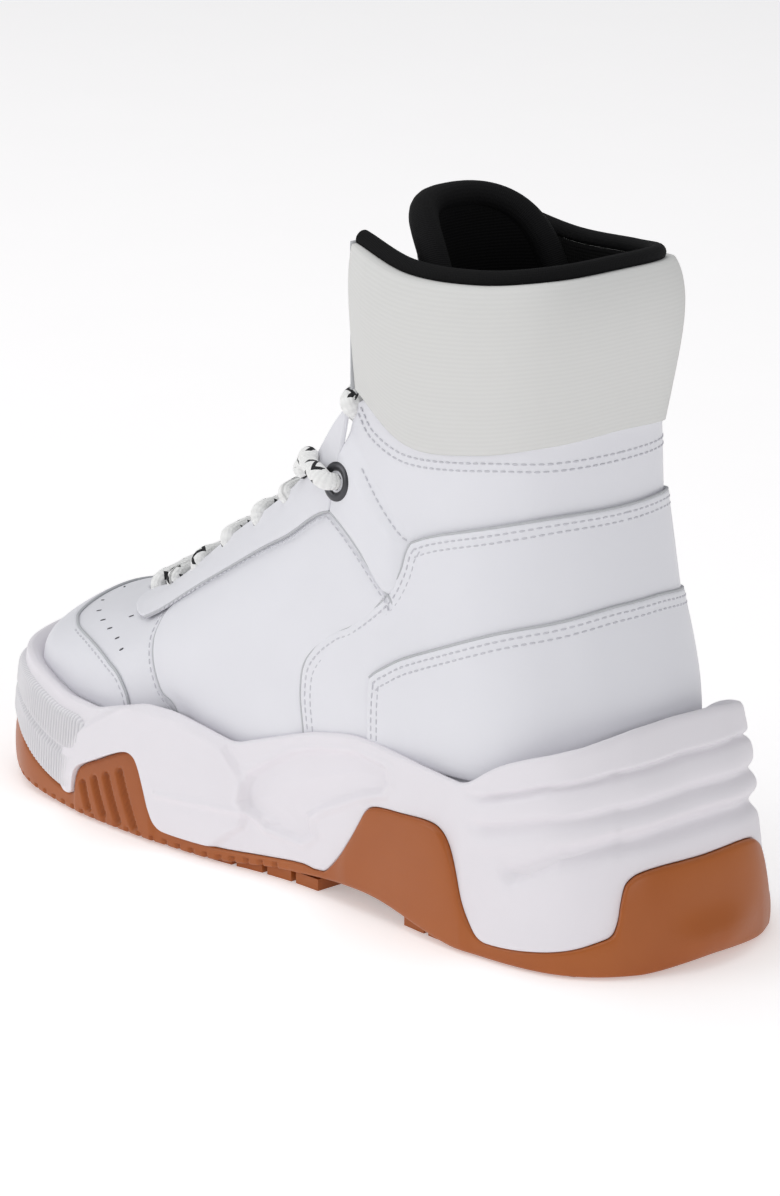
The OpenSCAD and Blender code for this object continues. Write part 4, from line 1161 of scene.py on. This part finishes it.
def pad_out(t, share):
    """Outer face of the collar pad."""
    return 3.25 + PAD * 0.45 * fullness(share) * end_taper(t)


def pad_in(t, share):
    """Inner face of the collar pad."""
    return -2.4 - PAD * 0.15 * fullness(share) * end_taper(t)


PAD_MM = 50
PAD_TOP = 0.985
t, share = np.meshgrid(np.linspace(-COLLAR_END, COLLAR_END, 260), dense(PAD_MM, 44, (0, 0.4, 1.0)),
                       indexing="ij")
outer, inner = pad_out(t, share), pad_in(t, share)
points, quads = shell(collar_point(t, share * PAD_TOP, outer), collar_point(t, share * PAD_TOP, inner + 1.2))
uv = shell_uv(t * RIB_MM, share * PAD_MM)
build("collar_pad", points, quads, uv, JERSEY, nodes=["collar_cover", "collar_foam"],
                slot="ribbed_jersey")
climb = mix(0.03, PAD_TOP, share)
points, quads = shell(collar_point(t, climb, inner + 1.1), collar_point(t, climb, inner))
build("collar_lining_cloth", points, quads, uv, BLACK_KNIT, nodes=["collar_lining"],
                slot="black_textile")

# %% Collar edge and binding
t = np.linspace(-COLLAR_END, COLLAR_END, 300)
path = collar_point(t, 1.015, 0.15)
across, up = frames(path)
points, quads, uv = tube(path, across, up, 2.8, 2.7, 20)
build("collar_binding_roll", points, quads, uv, BINDING, nodes=["collar_binding"], slot="black_binding")
EDGE_T = 4.03
for sign, tag in ((1, "outer"), (-1, "inner")):
    share = np.linspace(-0.02, 0.99, 60)
    rim = collar_point(sign * EDGE_T, share, 0.9)
    n = collar_point(sign * EDGE_T, share, 1.9) - rim
    d = np.cross(n, unit(np.gradient(rim, axis=0)))
    points, quads, uv = tube(rim, n, d, 3.3, 0.8, 14)
    build(f"collar_edge_{tag}_leather", points, quads, uv, EDGE_GREY_AND_SHADE,
          nodes=[f"collar_edge_{tag}"], slot="white_leather")

# %% [markdown]
# ## The tongue
# The tongue is a soft pad that hollows round the shin. Nine ribs give its forward place, height,
# half width and hollow; across each rib the section is an arc of 75 degrees each way.

# %% Tongue
TONGUE_RIBS = np.array([
    [240, 61, 13, 1], [222, 68, 19, 2.5], [192, 81, 24.5, 4], [162, 103, 27.5, 6], [133, 127, 26.5, 9],
    [115, 152, 24.5, 16], [110, 182, 24.5, 23], [110, 207, 26, 27], [113, 229, 29, 30]], float)
TONGUE_ARC = np.radians(75)
# The pad fills this share of the tongue's width; the mesh is stretched to 24 mm from rib to rib.
PAD_SHARE = 0.93
TONGUE_MM = 24
TONGUE_LONG = 160


def tongue_point(k, s, out):
    """Point of the tongue at rib k and share s across, out mm towards the laces."""
    k, s, out = np.broadcast_arrays(np.asarray(k, float), s, out)
    p = smooth(TONGUE_RIBS, k)
    slope = unit((smooth(TONGUE_RIBS, k + 0.05) - smooth(TONGUE_RIBS, k - 0.05))[..., :2])
    n = np.stack([slope[..., 1], -slope[..., 0]], -1)
    turn = TONGUE_ARC * s
    drop = p[..., 3] * (1 - np.cos(turn)) / (1 - np.cos(TONGUE_ARC))
    x = p[..., 2] * np.sin(turn) / np.sin(TONGUE_ARC) + np.sin(turn) * out * 0.75 + swing(p[..., 0])
    move = (np.cos(turn) * out - drop)[..., None]
    q = p[..., :2] + n * move
    return place(np.stack([x, q[..., 0], q[..., 1]], -1))


def tongue_top(s):
    """Rib count of the round top edge at share s across."""
    return 7.85 - 1.5 * abs(s) ** 3


k, s = np.meshgrid(np.linspace(0, 1, 120), np.linspace(-1, 1, 48), indexing="ij")
rib = mix(0.1, tongue_top(s * PAD_SHARE) - 0.06, k)
edge_share = rounded(np.minimum((1 - abs(s)) * TONGUE_MM, (1 - k) * TONGUE_LONG), 6.0)
for tag, low, high, cloth, nodes, slot_name in (
        ("tongue_pad", -2.9, 4.2, MESH_CLOTH, ["tongue_face", "tongue_foam"], "white_mesh"),
        ("tongue_lining_cloth", -4.2, -3.0, BLACK_KNIT, ["tongue_lining"], "black_textile")):
    top = mix(high * 0.35 if high > 0 else high, high, edge_share)
    bottom = mix(low * 0.35 if high > 0 else low + 0.8, low, edge_share)
    points, quads = shell(tongue_point(rib, s * PAD_SHARE, top), tongue_point(rib, s * PAD_SHARE, bottom))
    uv = shell_uv(s * TONGUE_MM, rib * TONGUE_MM)
    build(tag, points, quads, uv, cloth, body="tongue", nodes=nodes, slot=slot_name)
# The tongue is sewn to a piece of the same cloth that closes the front of the throat. It starts
# at its front end, falls towards the tongue by a square and is crowned across.
ROOT_HALF, ROOT_LONG, ROOT_FRONT, ROOT_HIGH = 19, 32, 264, 60.5
k, s = np.meshgrid(np.linspace(0, 1, 30), np.linspace(-1, 1, 40), indexing="ij")
root = [ROOT_HALF * s - 2.3, ROOT_FRONT - ROOT_LONG * k, ROOT_HIGH - 7.5 * k**2 - 3 * s**2]
root = place(np.stack(root, -1))
points, quads = shell(root, root - [0, 0, 0.9])
build("tongue_root_cloth", points, quads, shell_uv(s * ROOT_HALF, k * ROOT_LONG), MESH_CLOTH)
BINDING_FROM, BINDING_TURN = 4.6, 6.2
climb = np.linspace(0, 1, 120)
bow = np.sin(np.radians(np.linspace(-84, 84, 90)))
path = np.concatenate([tongue_point(mix(BINDING_FROM, BINDING_TURN, climb[:-1]), -1.0, 0),
                       tongue_point(tongue_top(bow) + 0.03, bow, 0),
                       tongue_point(mix(BINDING_TURN, BINDING_FROM, climb[1:]), 1.0, 0)])
path = line(path[::4], np.linspace(0, 1, 420))
across, up = frames(path)
wide = 2.6 + 2.2 * ramp((path[:, 2] - 165) / 40)
points, quads, uv = tube(path, across * wide[:, None], up * wide[:, None], 1, 1, 20)
build("tongue_binding_roll", points, quads, uv, BINDING, body="tongue", nodes=["tongue_binding"],
      slot="black_binding")

# %% [markdown]
# ## Lacing
# The lace is one soft woven cord, held by the shoe all the way, so it hangs free nowhere. It
# crosses the throat in puffy bars, dives under the edges and goes in through one black ring on
# each side, with its last bars above the rings and its ends tucked down inside.

# %% Eyelets
EYELET_T, EYELET_V, EYELET_BORE = 4.0, 3.22, 7.0
SPOKES, RIM = 64, 60
profile = np.array([(0, -0.8), (1.4, -0.8), (1.4, 2.9), (2.9, 3.1), (3.0, 3.5), (2.7, 3.95), (1.7, 4.35),
                    (0.7, 4.25), (0.1, 3.8), (0, 3.2)])
profile = smooth(np.concatenate([profile, profile[:1]]), np.linspace(0, len(profile), RIM + 1))[:-1]
parts = []
for sign in (1, -1):
    centre, axis = skin(sign * EYELET_T, EYELET_V), skin_normal(sign * EYELET_T, EYELET_V)
    a = np.linspace(0, 2 * np.pi, SPOKES, endpoint=False)
    first = unit(np.cross(axis, (0, 0, 1.0)))
    second = np.cross(axis, first)
    spoke = np.cos(a)[:, None] * first + np.sin(a)[:, None] * second
    ring = centre + (EYELET_BORE / 2 + profile[None, :, :1]) * spoke[:, None] + profile[None, :, 1:] * axis
    loop = np.concatenate([ring, ring[:, :1]], 1)
    quads = grid_quads(SPOKES, RIM + 1, ring=True)
    quads = np.where(quads % (RIM + 1) == RIM, quads - RIM, quads)
    parts.append((loop.reshape(-1, 3), closed(loop.reshape(-1, 3), quads)))
joined("eyelet_rings", parts, BLACK_METAL, nodes=["eyelets"], slot="black_metal")

# %% Lace route
LACE_ROWS = [7.35, 6.95, 6.5, 6.05, 5.6, 5.2, 4.85]
LACE_RUN_V = [3.7, 3.86]
# The cord rests by its firm core, and its soft weave puffs out to a little more.
LACE_RADIUS, LACE_PUFF = 2.4, 3.0
BAR_LIFT = 4


def lace_bar(row, side):
    """Bar straight across the throat, lifted in the middle by a sine."""
    t, t2 = LACE_ROWS[row], 2 * LAST - LACE_ROWS[row]
    a, b = raised(t, 3.98, LACE_RADIUS + 1.6), raised(t2, 3.98, LACE_RADIUS + 1.6)
    p, q = (a, b) if side > 0 else (b, a)
    lift = unit(skin_normal(t, 4.0) + skin_normal(t2, 4.0))
    share = np.linspace(0, 1, 7)[:, None]
    return p + (q - p) * share + lift * BAR_LIFT * np.sin(np.pi * share)


def lace_run(start, end, side, track):
    """Run under the edge of the throat from one row to another."""
    t = np.linspace(LACE_ROWS[start], LACE_ROWS[end], 4)
    return raised(t if side > 0 else 2 * LAST - t, LACE_RUN_V[track], -2.6)


def lace_eyelet(side):
    """Over the face of the ankle leather, in through the ring, and up behind it."""
    over = np.array([(4.92, 4.06, 5.2), (4.62, 3.86, 6.6), (4.45, 3.62, 7.6), (4.2, 3.38, 8.2),
                     (4.05, 3.25, 7.4), (4.0, 3.22, 4.6), (4.0, 3.22, 0), (4.0, 3.24, -4.6),
                     (4.05, 3.5, -5.8), (4.09, 3.8, -5.6), (4.09, 4.02, -3.4)])
    return raised(side * over[:, 0], over[:, 1], over[:, 2])


def lace_top(side, lift):
    """Bar above the rings, bowed forward."""
    a, b = raised(side * 4.09, 4.02, LACE_RADIUS), raised(-side * 4.09, 4.02, LACE_RADIUS)
    share = np.linspace(0, 1, 7)[:, None]
    return a + (b - a) * share + np.array([0, -lift, 0.3 * lift]) * np.sin(np.pi * share)


def lace_end(side):
    """The end, tucked down inside the ankle."""
    t, v = np.linspace(4.09, 3.5, 8), np.linspace(3.85, 3.0, 8)
    return raised(side * t, v, np.where(np.arange(8) == 0, -4.2, -8.4))


routes = [[lace_bar(0, 1), lace_run(0, 2, -1, 0), lace_bar(2, -1), lace_run(2, 4, 1, 0), lace_bar(4, 1),
           lace_run(4, 6, -1, 0), lace_bar(6, -1), lace_eyelet(1), lace_top(1, 9), lace_end(-1)],
          [lace_bar(0, 1)[1::-1], lace_run(0, 1, 1, 1), lace_bar(1, 1), lace_run(1, 3, -1, 1),
           lace_bar(3, -1), lace_run(3, 5, 1, 1), lace_bar(5, 1), lace_eyelet(-1), lace_top(-1, 14),
           lace_end(1)]]
parts, uvs = [], []
for route in routes:
    path = np.concatenate(route)
    path = line(path, np.linspace(0, 1, 900))
    across, up = frames(path)
    run = np.arange(len(path)) / len(path)
    pinch = 1 + 0.07 * np.sin(run * 260) + 0.05 * np.sin(run * 97 + 1)
    points, quads, uv = tube(path, across, up, LACE_PUFF, LACE_PUFF, 18, pinch)
    parts.append((points, quads))
    uvs.append(uv)
points, quads = join(parts)
build("lace_cord", points, quads, np.concatenate(uvs), LACE, nodes=["lace"], slot="lace_cord")

# %% [markdown]
# ## Foot bed
# The sockliner is a soft liner that lifts at the heel. Its outline is the foot of the upper
# moved in, and its top dips a little towards the middle with a raised rim round the heel.

# %% Sockliner
LINER_INSET = 7.0


def liner_ring(inset, lift, count=180):
    """Ring inside the lower edge of the upper, at a height above the foot bed."""
    t = np.linspace(0, 2 * LAST, count, endpoint=False)
    p, n = skin(t, 0 * t), skin_normal(t, 0 * t + 0.05)
    n = unit(n * [1, 1, 0])
    q = p - np.asarray(inset) * n
    bed = 30 - 8 * np.clip((MIDDLE - q[:, 1] - 90) / 110, 0, 1)
    return np.stack([q[:, 0], q[:, 1], bed + lift], -1)


# Each level is how far in from the upper's foot it lies and its height above the foot bed.
LEVELS = [(0.8, 4.2), (0, 4.9), (0, 7.4), (0.5, 8.2), (1.6, 8.6), (5, 8.3), (10, 7.6), (18, 7.0), (26, 6.8)]
points, quads, _ = ring_stack(np.stack([liner_ring(LINER_INSET + inset, lift) for inset, lift in LEVELS]))
LINER_CLOTH = finish("liner_cloth", (0.016, 0.016, 0.018), (0.009, 0.009, 0.01), 0.85, knit,
                     [("Rows", 0.8), ("Columns", 0.8)], bump=0.4, coordinates="UV")
build("sockliner_pad", points, quads, points[:, :2] * 1.0, LINER_CLOTH, body="sockliner_body",
                nodes=["sockliner"], slot="black_textile")

# %% [markdown]
# The parts that a finished shoe hides keep their CAD shape: the steel shank, the fibre board,
# the toe puff, the heel counter, the tread bars and the lace tips. They get their own finish.

# %% Carried-over CAD parts
CARRIED = (("shank", STEEL), ("insole_board", BOARD), ("toe_puff", STIFFENER), ("heel_counter", STIFFENER),
           ("forefoot_tread", GUM), ("heel_tread", GUM), ("aglets", LACE_TIP))
for node, material in CARRIED:
    mesh = frame["nodes"][node].data
    mesh.materials.clear()
    mesh.materials.append(material)
    print("finish of", node, "is", material.name)

# %% Floor
FLOOR = finish("studio_table", (0.90, 0.885, 0.885), (0.89, 0.875, 0.875), 0.7, mottle,
               height="Fine", bump=0.02, emission_color=(1, 1, 1, 1), emission_strength=0.34)
mesh = bpy.data.meshes.new("floor")
mesh.from_pydata([(-9, -9, 0), (9, -9, 0), (9, 9, 0), (-9, 9, 0)], [], [(0, 1, 2, 3)])
mesh.materials.append(FLOOR)
table = bpy.data.objects.new("floor", mesh)
bpy.context.scene.collection.objects.link(table)
